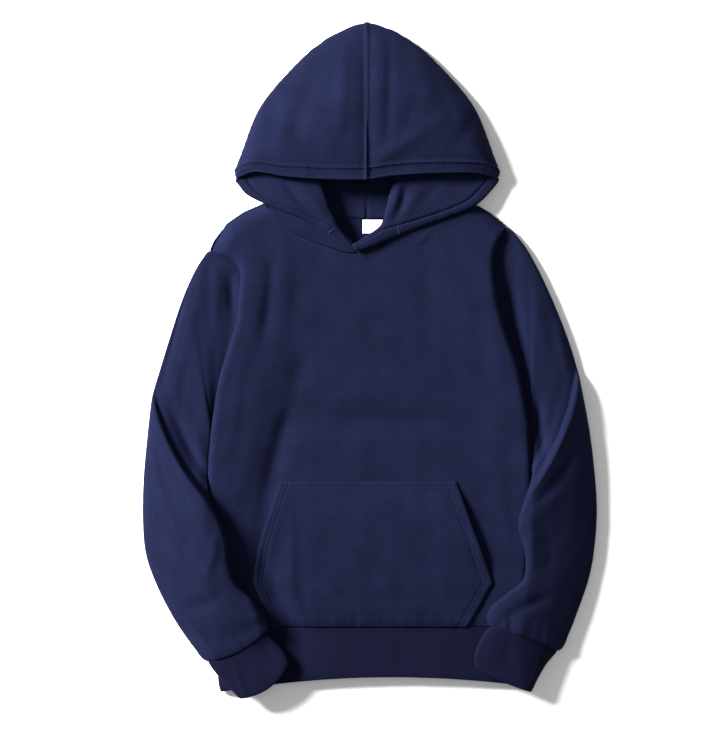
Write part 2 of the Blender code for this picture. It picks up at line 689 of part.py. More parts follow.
def hood_place(side, net, at, place):
    """Hood half: at runs from the centre front to the centre seam, place from the edge to the neck."""
    rows, seams = net
    spine = []
    for index in range(len(rows[0])):
        spine.append(tuple(bend([row[index][axis] for row in rows], at) for axis in range(3)))
    low = min(int(at), len(seams) - 2)
    spine.append(neck_seam(side, mix(seams[low], seams[low + 1], at - low)))
    out, y, z = thread(spine, place)
    return HOOD_CENTRE + side * out, y, max(z, FLOOR_CLOTH)


def steps(count):
    return [index / count for index in range(count + 1)]


def spread(places, counts):
    """Split each span between neighbouring places into its own number of even steps."""
    values = [places[0]]
    for low, high, count in zip(places, places[1:], counts):
        values.extend(mix(low, high, (index + 1) / count) for index in range(count))
    return values


def cloth_mesh(name, across, along, place, closed=False):
    """Net of cloth whose points are placed one by one; a closed net is a tube."""
    net = bmesh.new()
    columns, rows = len(across) - 1, len(along) - 1
    bmesh.ops.create_grid(net, x_segments=columns, y_segments=rows, size=0.5)
    for point in net.verts:
        u = across[round((point.co.x + 0.5) * columns)]
        v = along[round((point.co.y + 0.5) * rows)]
        point.co = [value * MM for value in place(u, v)]
    if closed:
        bmesh.ops.remove_doubles(net, verts=net.verts, dist=0.00001)
    mesh = bpy.data.meshes.new(name)
    net.to_mesh(mesh)
    net.free()
    mesh.shade_smooth()
    return mesh


def material(name, colour, roughness):
    finish = bpy.data.materials.new(name)
    finish.use_nodes = True
    shader = finish.node_tree.nodes["Principled BSDF"]
    shader.inputs["Base Color"].default_value = (*colour, 1)
    shader.inputs["Roughness"].default_value = roughness
    shader.inputs["Metallic"].default_value = 0.0
    return finish


def add_cloth(collection, name, mesh, colour, roughness=0.9, wall=CLOTH):
    """Give the net its wall and put it in the collection under its own name."""
    piece = bpy.data.objects.new(name, mesh)
    collection.objects.link(piece)
    mesh.materials.append(material(name + "_finish", COLOURS[colour], roughness))
    solid = piece.modifiers.new("Wall", "SOLIDIFY")
    solid.thickness = wall * MM
    solid.offset = 0.0
    solid.use_even_offset = False
    return piece


def build_body(collection):
    across = [-1, -0.75, -0.5, -0.25] + spread((0, 0.16, 0.215, 0.475, 0.79, 0.85, 1), (4, 2, 5, 5, 1, 4))
    across += [1.25, 1.5, 1.75, 2]
    up = spread((0, 0.9, 0.97, 1), (17, 3, 3))
    add_cloth(collection, "front_panel", cloth_mesh("front_panel", across, up, front_place), "fleece")
    back_across = spread((0, 0.16, 0.5, 0.85, 1), (3, 5, 5, 3))
    back = cloth_mesh("back_panel", back_across, steps(TOP_ROW), back_place)
    add_cloth(collection, "back_panel", back, "fleece")
    band = cloth_mesh("waist_band", steps(36), (0, 0.05, 0.2, 0.5, 1), band_place, closed=True)
    add_cloth(collection, "waist_band", band, "rib")
    pocket = cloth_mesh("pouch_pocket", steps(12), steps(10), pocket_place)
    add_cloth(collection, "pouch_pocket", pocket, "fleece")


def build_sleeves(collection):
    for side, rows, cuff_rows in ((-1, RIGHT_SLEEVE, RIGHT_CUFF), (1, LEFT_SLEEVE, LEFT_CUFF)):
        name = "sleeve_" + side_name(side)
        last = len(rows)
        places = (0, 1, 4, 6, 7, last - 1, last - CUFF_TUCK, last)
        along = [place / last for place in spread(places, (4, 4, 4, 4, last - 8, 1, 1))]
        sleeve = cloth_mesh(name, steps(22), along,
                            lambda u, v, s=side, r=rows: sleeve_place(s, r, u, v), closed=True)
        add_cloth(collection, name, sleeve, "fleece")
        name = "cuff_" + side_name(side)
        cuff = cloth_mesh(name, steps(18), (0, 0.05, 0.17, 0.333, 0.65, 1),
                          lambda u, v, c=cuff_rows, r=rows: cuff_place(c, r, u, v), closed=True)
        add_cloth(collection, name, cuff, "rib")


def trim_to_seam(piece, side):
    """Keep a hood half's wall on its own side of the centre seam."""
    graph = bpy.context.evaluated_depsgraph_get()
    walled = bpy.data.meshes.new_from_object(piece.evaluated_get(graph))
    piece.modifiers.clear()
    piece.data = walled
    for point in walled.vertices:
        out = max((point.co.x / MM - HOOD_CENTRE) * side, SEAM_GAP / 2)
        if point.co.y > HOOD_SEAM_START * MM:
            point.co.x = (HOOD_CENTRE + side * out) * MM


def build_hood(collection):
    inward = spread(range(9), (1, 1, 4, 4, 2, 2, 2, 2))
    for side in (-1, 1):
        net = hood_net(side)
        name = "hood_" + side_name(side)
        flap_spans = len(net[0]) - len(CROWN_ROWS)
        around = spread(range(len(net[0])), [1] * (flap_spans - 4) + [2, 2, 1, 3, 2, 2, 2, 2, 1, 1])
        half = cloth_mesh(name, around, inward, lambda u, v, s=side, n=net: hood_place(s, n, u, v))
        trim_to_seam(add_cloth(collection, name, half, "fleece"), side)


def build_label(collection):
    width, height, wall = LABEL_SIZE
    mesh = cloth_mesh("neck_label", steps(1), steps(1), lambda u, v: (
        LABEL_PLACE[0] + width * (u - 0.5), LABEL_PLACE[1] + height * (0.5 - v), LABEL_HEIGHT))
    add_cloth(collection, "neck_label", mesh, "label", 0.6, wall)


def main():
    for item in list(bpy.data.objects):
        bpy.data.objects.remove(item)
    collection = bpy.data.collections.new("pullover_hoodie")
    bpy.context.scene.collection.children.link(collection)
    build_body(collection)
    build_sleeves(collection)
    build_hood(collection)
    build_label(collection)
    # Bring the middle of the laid outline over the origin.
    for piece in collection.objects:
        piece.data.transform(Matrix.Translation(Vector(LAID_SHIFT) * MM))


main()
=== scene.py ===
"""Pullover hoodie laid flat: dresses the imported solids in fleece, rib knit and stitching."""
import math
from collections import namedtuple
from functools import partial

import bmesh
import bpy
import numpy as np
from bpy.props import FloatProperty, PointerProperty, StringProperty
from mathutils import Matrix, Vector


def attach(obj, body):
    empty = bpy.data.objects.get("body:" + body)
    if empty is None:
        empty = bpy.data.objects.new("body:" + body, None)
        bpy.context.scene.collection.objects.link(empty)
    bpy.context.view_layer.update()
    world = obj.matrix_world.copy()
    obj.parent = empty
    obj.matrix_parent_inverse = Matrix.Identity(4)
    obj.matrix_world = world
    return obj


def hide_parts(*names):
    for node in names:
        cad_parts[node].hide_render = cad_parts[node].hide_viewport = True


bl_info = {
    "name": "Laid hoodie",
    "version": (1, 0, 0),
    "blender": (4, 5, 0),
    "location": "3D View > Sidebar > Hoodie",
    "description": "Builds a fleece pullover hoodie laid flat on a pale table",
    "category": "Object",
}

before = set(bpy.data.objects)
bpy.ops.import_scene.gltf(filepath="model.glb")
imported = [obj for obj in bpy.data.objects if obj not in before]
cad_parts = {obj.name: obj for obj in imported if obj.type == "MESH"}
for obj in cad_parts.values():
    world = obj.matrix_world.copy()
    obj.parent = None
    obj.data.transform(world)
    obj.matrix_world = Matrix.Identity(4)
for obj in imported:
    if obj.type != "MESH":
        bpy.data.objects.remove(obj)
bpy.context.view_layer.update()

MM = 0.001

# Sizes in millimetres. The whole garment is moved a little to lie in the middle of its outline.
LAID_SHIFT = np.array((1.0, -0.6, 0.0))
CLOTH = 2.2
SEAM_GAP = 0.3
LAP = CLOTH + SEAM_GAP
OVERLAP = LAP + 0.2
FLOOR_CLOTH = CLOTH / 2
LAID_CLEARANCE = 0.9

# How high the front rests, and how its sides and its shoulders come down.
FRONT_REST = 17.0
RIDGE_SPREAD = 60.0
SHOULDER_DROP = 22.0

# Sleeves over the body: how far the support takes to fall, the slack, the lean of the top and the edge.
SLEEVE_RAMP = 50.0
DRAPE_RAMP = 95.0
DRAPE_SLACK = 0.7
SLEEVE_SLANT = {-1: 1.0, 1: 0.2}
SLEEVE_BRIDGE = 90.0
SLEEVE_EDGE = 4.6
SHOULDER_TUCK = 0.06
SLEEVE_START_DEPTH = 6.0
START_TOP = SLEEVE_START_DEPTH + OVERLAP
SLEEVE_END_DEPTH = 16.0
START_LEAN = 0.28
END_LEAN = 0.16
CUFF_TUCK = 0.15
CUFF_FREE = 0.15
CUFF_INSET = 0.08
CUFF_TUCKED_EDGE = 6.8
CUFF_LAP = 2.4

# Neck label, sewing thread and the hood's hem, with the places on the net where its bartacks are.
LABEL_SIZE = (30.0, 20.0, 0.6)
LABEL_PLACE = (3.5, 194.0)
LABEL_HEIGHT = LAP + LABEL_SIZE[2] / 2
LABEL_CURL = 0.25
STITCH_PITCH = 3.4
STITCH = (2.7, 0.9, 0.7)
BARTACK_PITCH = 0.9
BARTACK = (0.9, 4.4, 0.9)
HEM = 17.0
HEM_ENDS = {-1: 12, 1: 18}

# Width of the meshes where the pocket and the hood need a finer net.
FINE_PITCH = 3.0

# Camera over the middle of the picture, lights aimed at the garment, and the table.
CAMERA_PLACE = (-0.0084, -0.0093)
FOCUS_HEIGHT = 0.015
LIGHTS = (
    # name, place, diameter and power
    ("key", (-3.33, 1.78, 1.83), 1.3, 1080),
    ("top", (0.2, -0.1, 2.9), 1.6, 12),
)
WORLD_STRENGTH = 0.36
TABLE_SIZE = 6.0
TABLE_TOP = -0.0004


def table(names, *rows):
    """Rows of numbers, read by the name of their column."""
    return namedtuple("Table", names)(*np.array(rows, float).T)


# The front's two long folds, from the waist seam up to the shoulder tips, in millimetres.
EDGE = table(
    "right_x right_y right_roll right_wrap left_x left_y left_roll left_wrap end",
    (-218, -387, 8, 90, 217, -387, 8, 90, 3.8),
    (-230, -330, 9, 90, 226, -330, 9, 90, 3.8),
    (-236, -262, 9, 90, 231, -262, 9, 90, 3.8),
    (-237, -200, 9, 90, 234, -200, 9, 90, 3.8),
    (-235, -155, 9, 90, 234, -150, 9, 90, 3.8),
    (-232, -122, 9, 90, 232, -118, 9, 90, 3.8),
    (-229, -94, 9, 90, 229, -90, 9, 90, 12.0),
    (-222, -45, 9, 90, 221, -45, 9, 90, 12.0),
    (-215, -14, 9, 90, 214, -12, 9, 90, 12.0),
    (-204, 20, 9, 90, 202, 22, 9, 90, 12.0),
    (-194, 55, 9, 90, 190, 60, 9, 90, 12.0),
    (-189, 98, 9, 90, 181, 103, 9, 90, 12.0),
    (-189, 131, 12, 60, 178, 140, 9, 65, 12.0),
    (-204, 147, 18, 10, 182, 166, 6, 12, 12.0),
    (-233, 160, 14, 5, 197, 195, 3, 0, 11.0),
)
UNDERARM_ROW = 6
EDGE_FADE = 4
TOP_ROW = len(EDGE.end) - 1

# The soft ridge just inside each fold, and its rise over the resting front.
RIDGE = table(
    "y right_x left_x rise",
    (-485, -212, 208, -2.0),
    (-440, -212, 208, -2.0),
    (-387, -210, 208, 2.0),
    (-330, -221, 217, 4.0),
    (-262, -227, 222, 5.0),
    (-200, -228, 225, 6.0),
    (-118, -223, 223, 7.0),
    (-45, -213, 212, 7.0),
    (22, -194, 192, 7.0),
    (60, -184, 181, 7.0),
    (103, -179, 172, 7.0),
    (140, -181, 169, 5.0),
    (166, -189, 173, 2.0),
    (196, -200, 182, -1.0),
)

# Upper outlines of the front and the back, which share both shoulder lines.
OUTLINE = "across x y"
RIGHT_SHOULDER = ((0.000, -233, 160), (0.060, -209, 198), (0.110, -184, 215), (0.160, -154, 228))
LEFT_SHOULDER = ((0.850, 153, 226), (0.925, 176, 212), (1.000, 197, 195))
FRONT_TOP = table(
    OUTLINE,
    *RIGHT_SHOULDER,
    (0.215, -133, 202),
    (0.290, -104, 183),
    (0.370, -70, 169),
    (0.440, -38, 159),
    (0.475, -22, 157),
    (0.510, -2, 166),
    (0.580, 32, 182),
    (0.650, 66, 197),
    (0.720, 100, 207),
    (0.790, 131, 216),
    *LEFT_SHOULDER,
)
BACK_TOP = table(
    OUTLINE,
    *RIGHT_SHOULDER,
    (0.240, -117, 218),
    (0.340, -73, 211),
    (0.505, -2, 208),
    (0.660, 68, 211),
    (0.760, 112, 217),
    *LEFT_SHOULDER,
)
SHOULDERS = ([row[1:] for row in RIGHT_SHOULDER], [row[1:] for row in LEFT_SHOULDER[::-1]])

# Broad soft folds that the solids have too: centre, half lengths, turn and height.
FRONT_FOLDS = table(
    "x y long short turn rise",
    (-25, -95, 130, 16, 2, -2.4),
    (-15, -62, 120, 18, -3, 1.4),
    (-118, -130, 90, 26, 66, -2.6),
    (-158, -40, 110, 20, 72, 1.6),
    (-120, 70, 80, 22, 60, -1.6),
    (120, 60, 90, 24, -62, -1.6),
    (150, -120, 100, 26, -80, -1.8),
)

# Sleeve sections from below the armhole to the cuff seam.
SECTION = "outer_x outer_y inner_x inner_y bow depth lift"
SLEEVES = {
    -1: table(
        SECTION,
        (-237, 156, -229, -81, -9, 10.0, 0.00),
        (-254, 130, -232, -90, 0, 13.0, 0.00),
        (-273, 87, -231, -104, 0, 15.0, 0.00),
        (-292, 29, -233, -134, 2, 14.0, 0.00),
        (-307, -20, -235, -163, 7, 12.0, 0.25),
        (-314, -43, -236, -187, 11, 9.0, 0.75),
        (-318, -62, -228, -213, 11, 22.0, 1.00),
        (-324, -116, -217, -234, 6, 22.0, 1.00),
        (-329, -174, -207, -265, 3, 22.0, 1.00),
        (-330, -232, -202, -301, 0, 22.5, 1.00),
        (-326, -280, -192, -325, 0, 22.0, 1.00),
        (-312, -322, -171, -346, 0, 21.0, 1.00),
        (-288, -370, -157, -365, 4, 19.5, 1.00),
        (-262, -409, -150, -380, 8, 16.0, 1.00),
        (-238, -436, -148, -389, 10, SLEEVE_END_DEPTH, 1.00),
    ),
    1: table(
        SECTION,
        (208, 185, 228, -78, -8, 10.0, 0.00),
        (227, 160, 232, -86, 0, 13.0, 0.00),
        (247, 123, 231, -98, 0, 15.0, 0.00),
        (270, 72, 232, -122, 2, 14.0, 0.00),
        (288, 25, 234, -146, 7, 12.0, 0.30),
        (298, -8, 234, -170, 11, 9.0, 0.80),
        (304, -32, 223, -203, 11, 23.0, 1.00),
        (317, -101, 214, -238, 6, 22.0, 1.00),
        (325, -167, 220, -262, 3, 20.0, 1.00),
        (328, -218, 225, -290, 0, 19.0, 1.00),
        (325, -268, 221, -318, 0, 18.0, 1.00),
        (317, -315, 198, -338, 0, 17.0, 1.00),
        (299, -368, 178, -354, 0, 16.5, 1.00),
        (285, -403, 170, -368, 0, 16.0, 1.00),
        (275, -422, 171, -384, -3, SLEEVE_END_DEPTH, 1.00),
    ),
}
CUFFS = {
    -1: table(
        SECTION,
        (-236, -438, -147, -391, 10, 15.0, 1.0),
        (-224, -451, -143, -403, 10, 13.0, 1.0),
        (-207, -470, -127, -420, 11, 12.0, 1.0),
        (-188, -489, -118, -438, 12, 11.0, 1.0),
    ),
    1: table(
        SECTION,
        (273, -425, 170, -386, -3, 15.0, 1.0),
        (258, -437, 162, -400, -1, 13.0, 1.0),
        (245, -456, 152, -424, 0, 12.0, 1.0),
        (232, -480, 153, -446, 2, 11.0, 1.0),
    ),
}

# Waist band: both ends and the sagging lower edge.
BAND = table(
    "down right_x right_y middle_y left_x left_y",
    (0.0, -213, -385, -385, 212, -385),
    (0.2, -217, -400, -401, 216, -401),
    (0.7, -221, -455, -440, 217, -449),
    (1.0, -217, -482, -460, 215, -472),
)
BAND_EDGE = 4.8
BAND_TUCKED_EDGE = 10.5
BAND_DROP = 1.2
WAIST_TUCK = 1.5

# Pouch pocket outline and how far its sides stand open.
POCKET = table(
    "y right_x left_x right_open left_open puff",
    (-386.4, -141, 140, 0.0, 0.0, 0.0),
    (-352, -156, 160, 0.0, 0.0, 4.0),
    (-322, -170, 176, 0.5, 1.0, 5.5),
    (-270, -162, 158, 5.0, 7.0, 6.0),
    (-225, -148, 141, 4.5, 6.0, 5.0),
    (-176, -132, 124, 0.0, 0.0, 0.0),
)

# Hood: front flaps from the centre front to the side corner, then the crown to the centre seam.
FLAP = "rim_out rim_y rim_z crest_out crest_y crest_z fold_depth seam root_share"
FLAPS = {
    -1: table(
        FLAP,
        (20, 158, 17.8, 13, 162, 18.2, 4.6, 0.03, 0.7),
        (34, 164, 18.6, 22, 167, 19.0, 4.8, 0.10, 0.7),
        (57, 183, 20.0, 42, 190, 21.5, 5.0, 0.25, 0.7),
        (88, 202, 20.5, 49, 205, 23.0, 5.5, 0.45, 0.7),
        (122, 216, 21.5, 57, 219, 23.5, 5.5, 0.68, 0.7),
        (151, 228, 20.5, 61, 232, 23.5, 5.5, 0.86, 0.7),
        (174, 240, 17.5, 65, 244, 23.0, 5.5, 0.94, 0.6),
        (186, 254, 14.5, 69, 255, 22.0, 5.5, 0.975, 0.5),
        (191, 261, 13.0, 73, 267, 21.0, 5.5, 1.00, 0.5),
    ),
    1: table(
        FLAP,
        (-17.5, 157, 25.0, -20, 164, 25.2, 5.2, 0.00, 0.7),
        (8, 165, 24.0, -1, 175, 24.8, 5.2, 0.10, 0.7),
        (34, 176, 22.5, 20, 190, 25.0, 5.5, 0.26, 0.7),
        (66, 189, 21.5, 28, 207, 24.5, 5.5, 0.46, 0.7),
        (102, 202, 21.5, 32, 223, 24.0, 5.5, 0.68, 0.7),
        (136, 215, 21.5, 35, 237, 23.5, 5.5, 0.86, 0.7),
        (161, 227, 19.0, 39, 249, 22.5, 5.5, 0.94, 0.6),
        (180, 246, 15.0, 42, 260, 21.5, 5.5, 0.975, 0.5),
        (191, 261, 13.0, 45, 271, 21.0, 5.5, 1.00, 0.5),
    ),
}
CROWN = table(
    "rim_out right_rim_y left_rim_y rim_z side_out side_y side_z crown_z back_z"
    " right_crest left_crest crest_y crest_z fold_depth seam",
    (185, 265, 264, 18, 192, 268, 13, 18, 18.0, 65, 37, 278, 17.0, 5.5, 1.15),
    (160, 272, 270, 27, 181, 302, 11, 27, 14.0, 53, 27, 287, 10.0, 3.5, 1.35),
    (119, 265, 270, 33, 152, 371, 9, 34, 5.0, 39, 18, 293, 4.0, 0.0, 1.60),
    (68, 261, 268, 36, 94, 438, 7, 38, 1.3, 26, 11, 298, 1.3, 0.0, 1.80),
    (32, 260, 265, 37, 53, 470, 7, 40, 1.1, 13, 5, 301, 1.1, 0.0, 1.92),
    (13, 260, 262, 37, 22, 485, 7, 40, 1.1, 5, 2, 302, 1.1, 0.0, 1.97),
    (0, 260, 260, 37, 0, 490, 7, 39, 1.1, 0, 0, 303, 1.1, 0.0, 2.00),
)

# How the hood laps over the neck seam, how far its cloth leans between the table's lines, and how the
# flaps puff from the rim to the crest.
HOOD_CENTRE = -5.0
NECK_LAP = 2.0
NECK_REACH = 2.0
NECK_RISE = 1.9
SHOULDER_LAP = -2.7
SHOULDER_NECK = 6.0
LAP_TURN = 0.15
NECK_TURN = 0.05
TUCK_LEAN = 0.03
FOLD_LEAN = 0.05
FULL_FOLD = 5.5
CENTRE_FRONT = 0.48
NECK_SHOULDERS = {-1: 0.160, 1: 0.850}
CENTRE_BACK = 0.498
FLAP_STEPS = (0.0, 0.05, 0.12, 0.55, 1.0)
FLAP_PUFF = (0.0, 0.3, 0.8, 2.5, 0.0)
FLAP_FULL_WIDTH = 60.0
CROWN_LEAN = {-1: 0.47, 1: 0.58}
BACK_LEAN = 0.30
ROOT_LEAN = 0.62
ROOT_SHARE = 0.1
CREST_FALL = 0.35

# Creases: a bent line through three points, its half width and its rise, in millimetres.
CREASE = "x1 y1 x2 y2 x3 y3 wide rise"
FRONT_CREASES = table(
    CREASE,
    (-144, 151, -147, 87, -160, 17, 9, -3),
    (-121, 148, -123, 84, -133, 22, 11, 1.2),
    (-88, 12, -105, -26, -121, -84, 17, -3),
    (-123, -50, -26, -81, 122, -105, 21, -3.4),
    (-70, -69, -12, -78, 57, -87, 12, -0.9),
    (-117, -70, -140, -148, -166, -284, 12, -3.8),
    (-166, -94, -182, -160, -195, -232, 12, 1.4),
    (-94, -94, -114, -148, -130, -206, 11, 1.3),
    (-181, 29, -195, -58, -205, -145, 9, 1),
    (147, 142, 159, 44, 188, -87, 14, -1.2),
    (123, 87, 133, 14, 156, -72, 14, 0.9),
    (188, -160, 195, -232, 205, -290, 10, 1.2),
    (86, 142, 79, 87, 83, 22, 16, -0.8),
    (-37, 123, -27, 58, -36, -17, 18, 0.7),
    (-21, -362, -21, -376, -22, -392, 5, -0.7),
    (17, -366, 18, -378, 17, -392, 5, -0.5),
    (75, -368, 76, -381, 73, -393, 5, -0.5),
    (-86, -366, -88, -378, -85, -393, 5, -0.4),
    (-53, -365, -51, -378, -53, -393, 4, 0.7),
    (49, -365, 47, -378, 49, -393, 4, 0.6),
    (115, -365, 114, -378, 115, -393, 4, 0.6),
    (63, 168, 76, 177, 89, 187, 3, 1),
    (72, 162, 85, 171, 98, 181, 3, -0.7),
    (101, -160, 111, -246, 112, -348, 45, 3),
    (202, -102, 208, -203, 196, -334, 24, -2.5),
    (-166, -263, -135, -348, -94, -427, 17, -8),
)
POCKET_CREASES = table(
    CREASE,
    (-114, -215, -114, -290, -115, -357, 7, 1.6),
    (-130, -229, -136, -290, -138, -351, 6, -0.9),
    (-78, -203, -66, -212, -54, -216, 6, -0.8),
    (-102, -319, -96, -348, -92, -374, 7, -1.1),
    (131, -210, 143, -261, 154, -307, 6, -0.9),
    (-44, -232, -27, -290, -30, -348, 14, 0.7),
    (72, -232, 80, -290, 95, -348, 14, -0.7),
)
SLEEVE_CREASES = {
    -1: table(
        CREASE,
        (-223, 148, -225, 87, -223, 22, 8, 2.6),
        (-201, 136, -201, 93, -195, 49, 8, -4.5),
        (-257, 151, -279, 61, -305, -41, 5, -2.6),
        (-243, 142, -260, 51, -288, -51, 9, 1.5),
        (-233, 14, -240, -58, -243, -123, 10, 0.9),
        (-268, -14, -273, -72, -262, -130, 12, -1.6),
        (-320, -110, -310, -160, -292, -220, 6, 1.9),
        (-297, -133, -289, -177, -275, -215, 8, -1),
        (-225, -252, -227, -284, -243, -322, 7, 2.4),
        (-259, -232, -265, -268, -273, -304, 10, -1.2),
        (-270, -357, -239, -351, -207, -334, 10, -3),
        (-178, -345, -166, -367, -157, -392, 7, 1.6),
        (-305, -331, -257, -384, -218, -435, 4, 2.8),
        (-288, -326, -247, -371, -210, -413, 8, -1.2),
        (-210, -389, -195, -406, -189, -423, 5, 0.9),
        (-296, -58, -270, -113, -247, -159, 10, -7),
        (-238, -176, -224, -200, -208, -224, 12, -5),
    ),
    1: table(
        CREASE,
        (196, 133, 212, 29, 244, -101, 12, -5),
        (231, 142, 247, 44, 263, -52, 10, 1.2),
        (269, 46, 279, 14, 285, -26, 6, 1.6),
        (308, -120, 269, -174, 236, -209, 9, -2.4),
        (298, -70, 260, -142, 221, -206, 4, 1.2),
        (225, -220, 233, -268, 228, -316, 7, 1.6),
        (250, -229, 257, -276, 249, -325, 9, -1.3),
        (297, -160, 289, -232, 283, -290, 12, 0.9),
        (260, -344, 225, -354, 188, -381, 9, -3),
        (199, -362, 201, -380, 202, -396, 3, -1.5),
        (231, -368, 230, -386, 228, -403, 3, -1.6),
        (215, -368, 215, -386, 215, -400, 4, 0.8),
        (253, -374, 254, -394, 250, -409, 4, 0.8),
        (236, -61, 247, -110, 254, -148, 9, -6),
    ),
}
CUFF_CREASES = {
    -1: table(
        CREASE,
        (-198, -435, -188, -464, -179, -489, 4, 1.4),
        (-157, -406, -143, -428, -131, -447, 6, -0.8),
        (-175, -423, -163, -447, -157, -470, 8, 0.6),
    ),
    1: table(
        CREASE,
        (249, -420, 240, -450, 230, -478, 4, 1.3),
        (199, -397, 198, -420, 192, -447, 6, -0.8),
        (176, -394, 172, -418, 167, -441, 6, 0.6),
    ),
}
BAND_CREASES = table(
    CREASE,
    (-59, -394, -57, -428, -62, -461, 14, 0.5),
    (-20, -392, -18, -406, -15, -423, 6, -0.5),
    (43, -394, 46, -428, 40, -461, 15, -0.5),
    (101, -394, 102, -428, 107, -461, 14, 0.5),
    (-102, -397, -105, -428, -108, -458, 14, -0.5),
)
CROWN_CREASES = table(
    CREASE,
    (-6, 482, -6, 380, -6, 262, 11, -2.6),
    (-36, 467, -40, 392, -46, 313, 10, 2.3),
    (-80, 429, -96, 365, -117, 316, 13, -2.8),
    (-156, 377, -166, 334, -173, 293, 9, 1.8),
    (-108, 345, -102, 319, -88, 294, 9, -1.6),
    (-66, 354, -62, 312, -65, 286, 12, 1.6),
    (-136, 383, -140, 341, -146, 297, 9, -1.4),
    (28, 481, 27, 389, 22, 299, 7, -2.6),
    (4, 287, 46, 309, 112, 357, 10, 2.8),
    (54, 455, 78, 406, 91, 360, 13, 1.4),
    (118, 304, 141, 334, 156, 368, 9, -1.4),
    (101, 406, 124, 365, 136, 319, 10, 1),
    (49, 336, 63, 368, 72, 403, 9, -1.2),
    (-70, 281, -75, 271, -76, 260, 4, -0.9),
    (-94, 284, -95, 274, -92, 262, 4, 0.8),
    (-18, 278, -17, 270, -14, 260, 4, -1),
)
MOUTH_CREASES = table(
    CREASE,
    (-127, 264, -102, 228, -66, 199, 6, -2.6),
    (-104, 260, -83, 232, -62, 206, 6, 1.4),
    (-179, 265, -175, 254, -166, 244, 3, -0.8),
    (-152, 255, -143, 246, -130, 239, 5, 0.8),
    (-57, 190, -44, 178, -30, 165, 2.5, -2.4),
    (40, 258, 37, 235, 25, 209, 5, 1.8),
    (50, 255, 46, 226, 31, 196, 6, -3.2),
    (73, 254, 62, 232, 44, 207, 7, 1.4),
    (95, 255, 86, 238, 72, 223, 7, -1),
    (172, 264, 144, 258, 109, 252, 7, -2),
)

# The garment's underside: cloth that lifts a little off the table in long soft hollows.
UNDER_CREASES = table(
    CREASE,
    (-130, 150, -60, 120, 40, 138, 14, 2.4),
    (-150, 60, -90, 10, -60, -70, 12, 2.2),
    (140, 90, 110, 20, 126, -60, 13, 2.3),
    (-60, -20, 10, -48, 90, -30, 15, 1.9),
    (-160, -120, -120, -190, -140, -280, 12, 2.4),
    (60, -110, 84, -200, 66, -300, 14, 2.1),
    (150, -200, 136, -260, 150, -340, 10, 2.0),
    (-40, -220, -20, -290, -44, -360, 11, 1.8),
    (-262, 60, -276, 0, -290, -50, 9, 2.2),
    (-306, -130, -296, -200, -304, -270, 10, 2.4),
    (-270, -180, -246, -240, -250, -310, 9, 2.0),
    (246, 90, 262, 30, 276, -20, 9, 2.2),
    (304, -120, 290, -190, 300, -260, 10, 2.4),
    (262, -200, 250, -270, 262, -330, 9, 2.0),
    (-120, 290, -84, 360, -60, 430, 12, 2.3),
    (96, 300, 70, 370, 44, 440, 12, 2.3),
    (-150, 290, -128, 330, -112, 380, 9, 1.9),
    (30, 330, 20, 380, 24, 430, 9, 1.7),
)


def ease(value):
    """Eased share from 0 to 1, level at both ends."""
    value = np.clip(value, 0, 1)
    return value * value * (3 - 2 * value)


def mix(a, b, share):
    """Value between two others at a share of the way."""
    return a + (b - a) * share


def mix_points(a, b, share):
    """Point between two others at a share of the way."""
    return tuple(mix(p, q, share) for p, q in zip(a, b))


def span(values, at):
    """The two neighbouring values round a place, with the ones beyond, and the share between."""
    values = np.asarray(values, float)
    last = len(values) - 1
    at = np.clip(at, 0, last)
    low = np.minimum(at.astype(int), last - 1)
    share = np.reshape(at - low, np.shape(at) + (1,) * (values.ndim - 1))
    before, after = np.maximum(low - 1, 0), np.minimum(low + 2, last)
    return values[before], values[low], values[low + 1], values[after], share


def curve(start, end, leave, arrive, share):
    """Smooth curve between two values, from its slopes at both ends."""
    square, cube = share ** 2, share ** 3
    return ((2 * cube - 3 * square + 1) * start + (cube - 2 * square + share) * leave
            + (3 * square - 2 * cube) * end + (cube - square) * arrive)


def bend(values, at):
    """Read a smooth curve through evenly spaced values."""
    before, start, end, after, share = span(values, at)
    return curve(start, end, (end - before) / 2, (after - start) / 2, share)


def step(values, at):
    """Read evenly spaced values with an eased step between neighbours."""
    _before, start, end, _after, share = span(values, at)
    return mix(start, end, ease(share))


def place_in(keys, key):
    """Turn a value of an ascending key column into a place along its rows."""
    return np.interp(key, keys, np.arange(len(keys)))


def distance_to_line(x, y, points):
    """Shortest distance from each place to a run of straight pieces."""
    gaps = []
    for (ax, ay), (bx, by) in zip(points, points[1:]):
        run = (bx - ax, by - ay)
        share = np.clip(((x - ax) * run[0] + (y - ay) * run[1]) / (run[0] ** 2 + run[1] ** 2), 0, 1)
        gaps.append(np.hypot(x - ax - run[0] * share, y - ay - run[1] * share))
    return np.min(gaps, axis=0)


def side_name(side):
    """The wearer's side that lies at negative or at positive X."""
    return "right" if side < 0 else "left"


def read(rows, side, name):
    """Column of a table that has one for each side."""
    return getattr(rows, side_name(side) + "_" + name)


def ridge(side, y):
    """Place and rise of the soft ridge inside a side fold."""
    at = place_in(RIDGE.y, y)
    return bend(read(RIDGE, side, "x"), at), bend(RIDGE.rise, at)


def fold_relief(x, y, folds):
    """Sum of the broad folds at each place."""
    total = 0.0
    for fold_x, fold_y, long, short, turn, rise in zip(*folds):
        turn = math.radians(turn)
        along = ((x - fold_x) * math.cos(turn) + (y - fold_y) * math.sin(turn)) / long
        across = ((y - fold_y) * math.cos(turn) - (x - fold_x) * math.sin(turn)) / short
        total = total + rise * np.exp(-along * along - across * across)
    return total


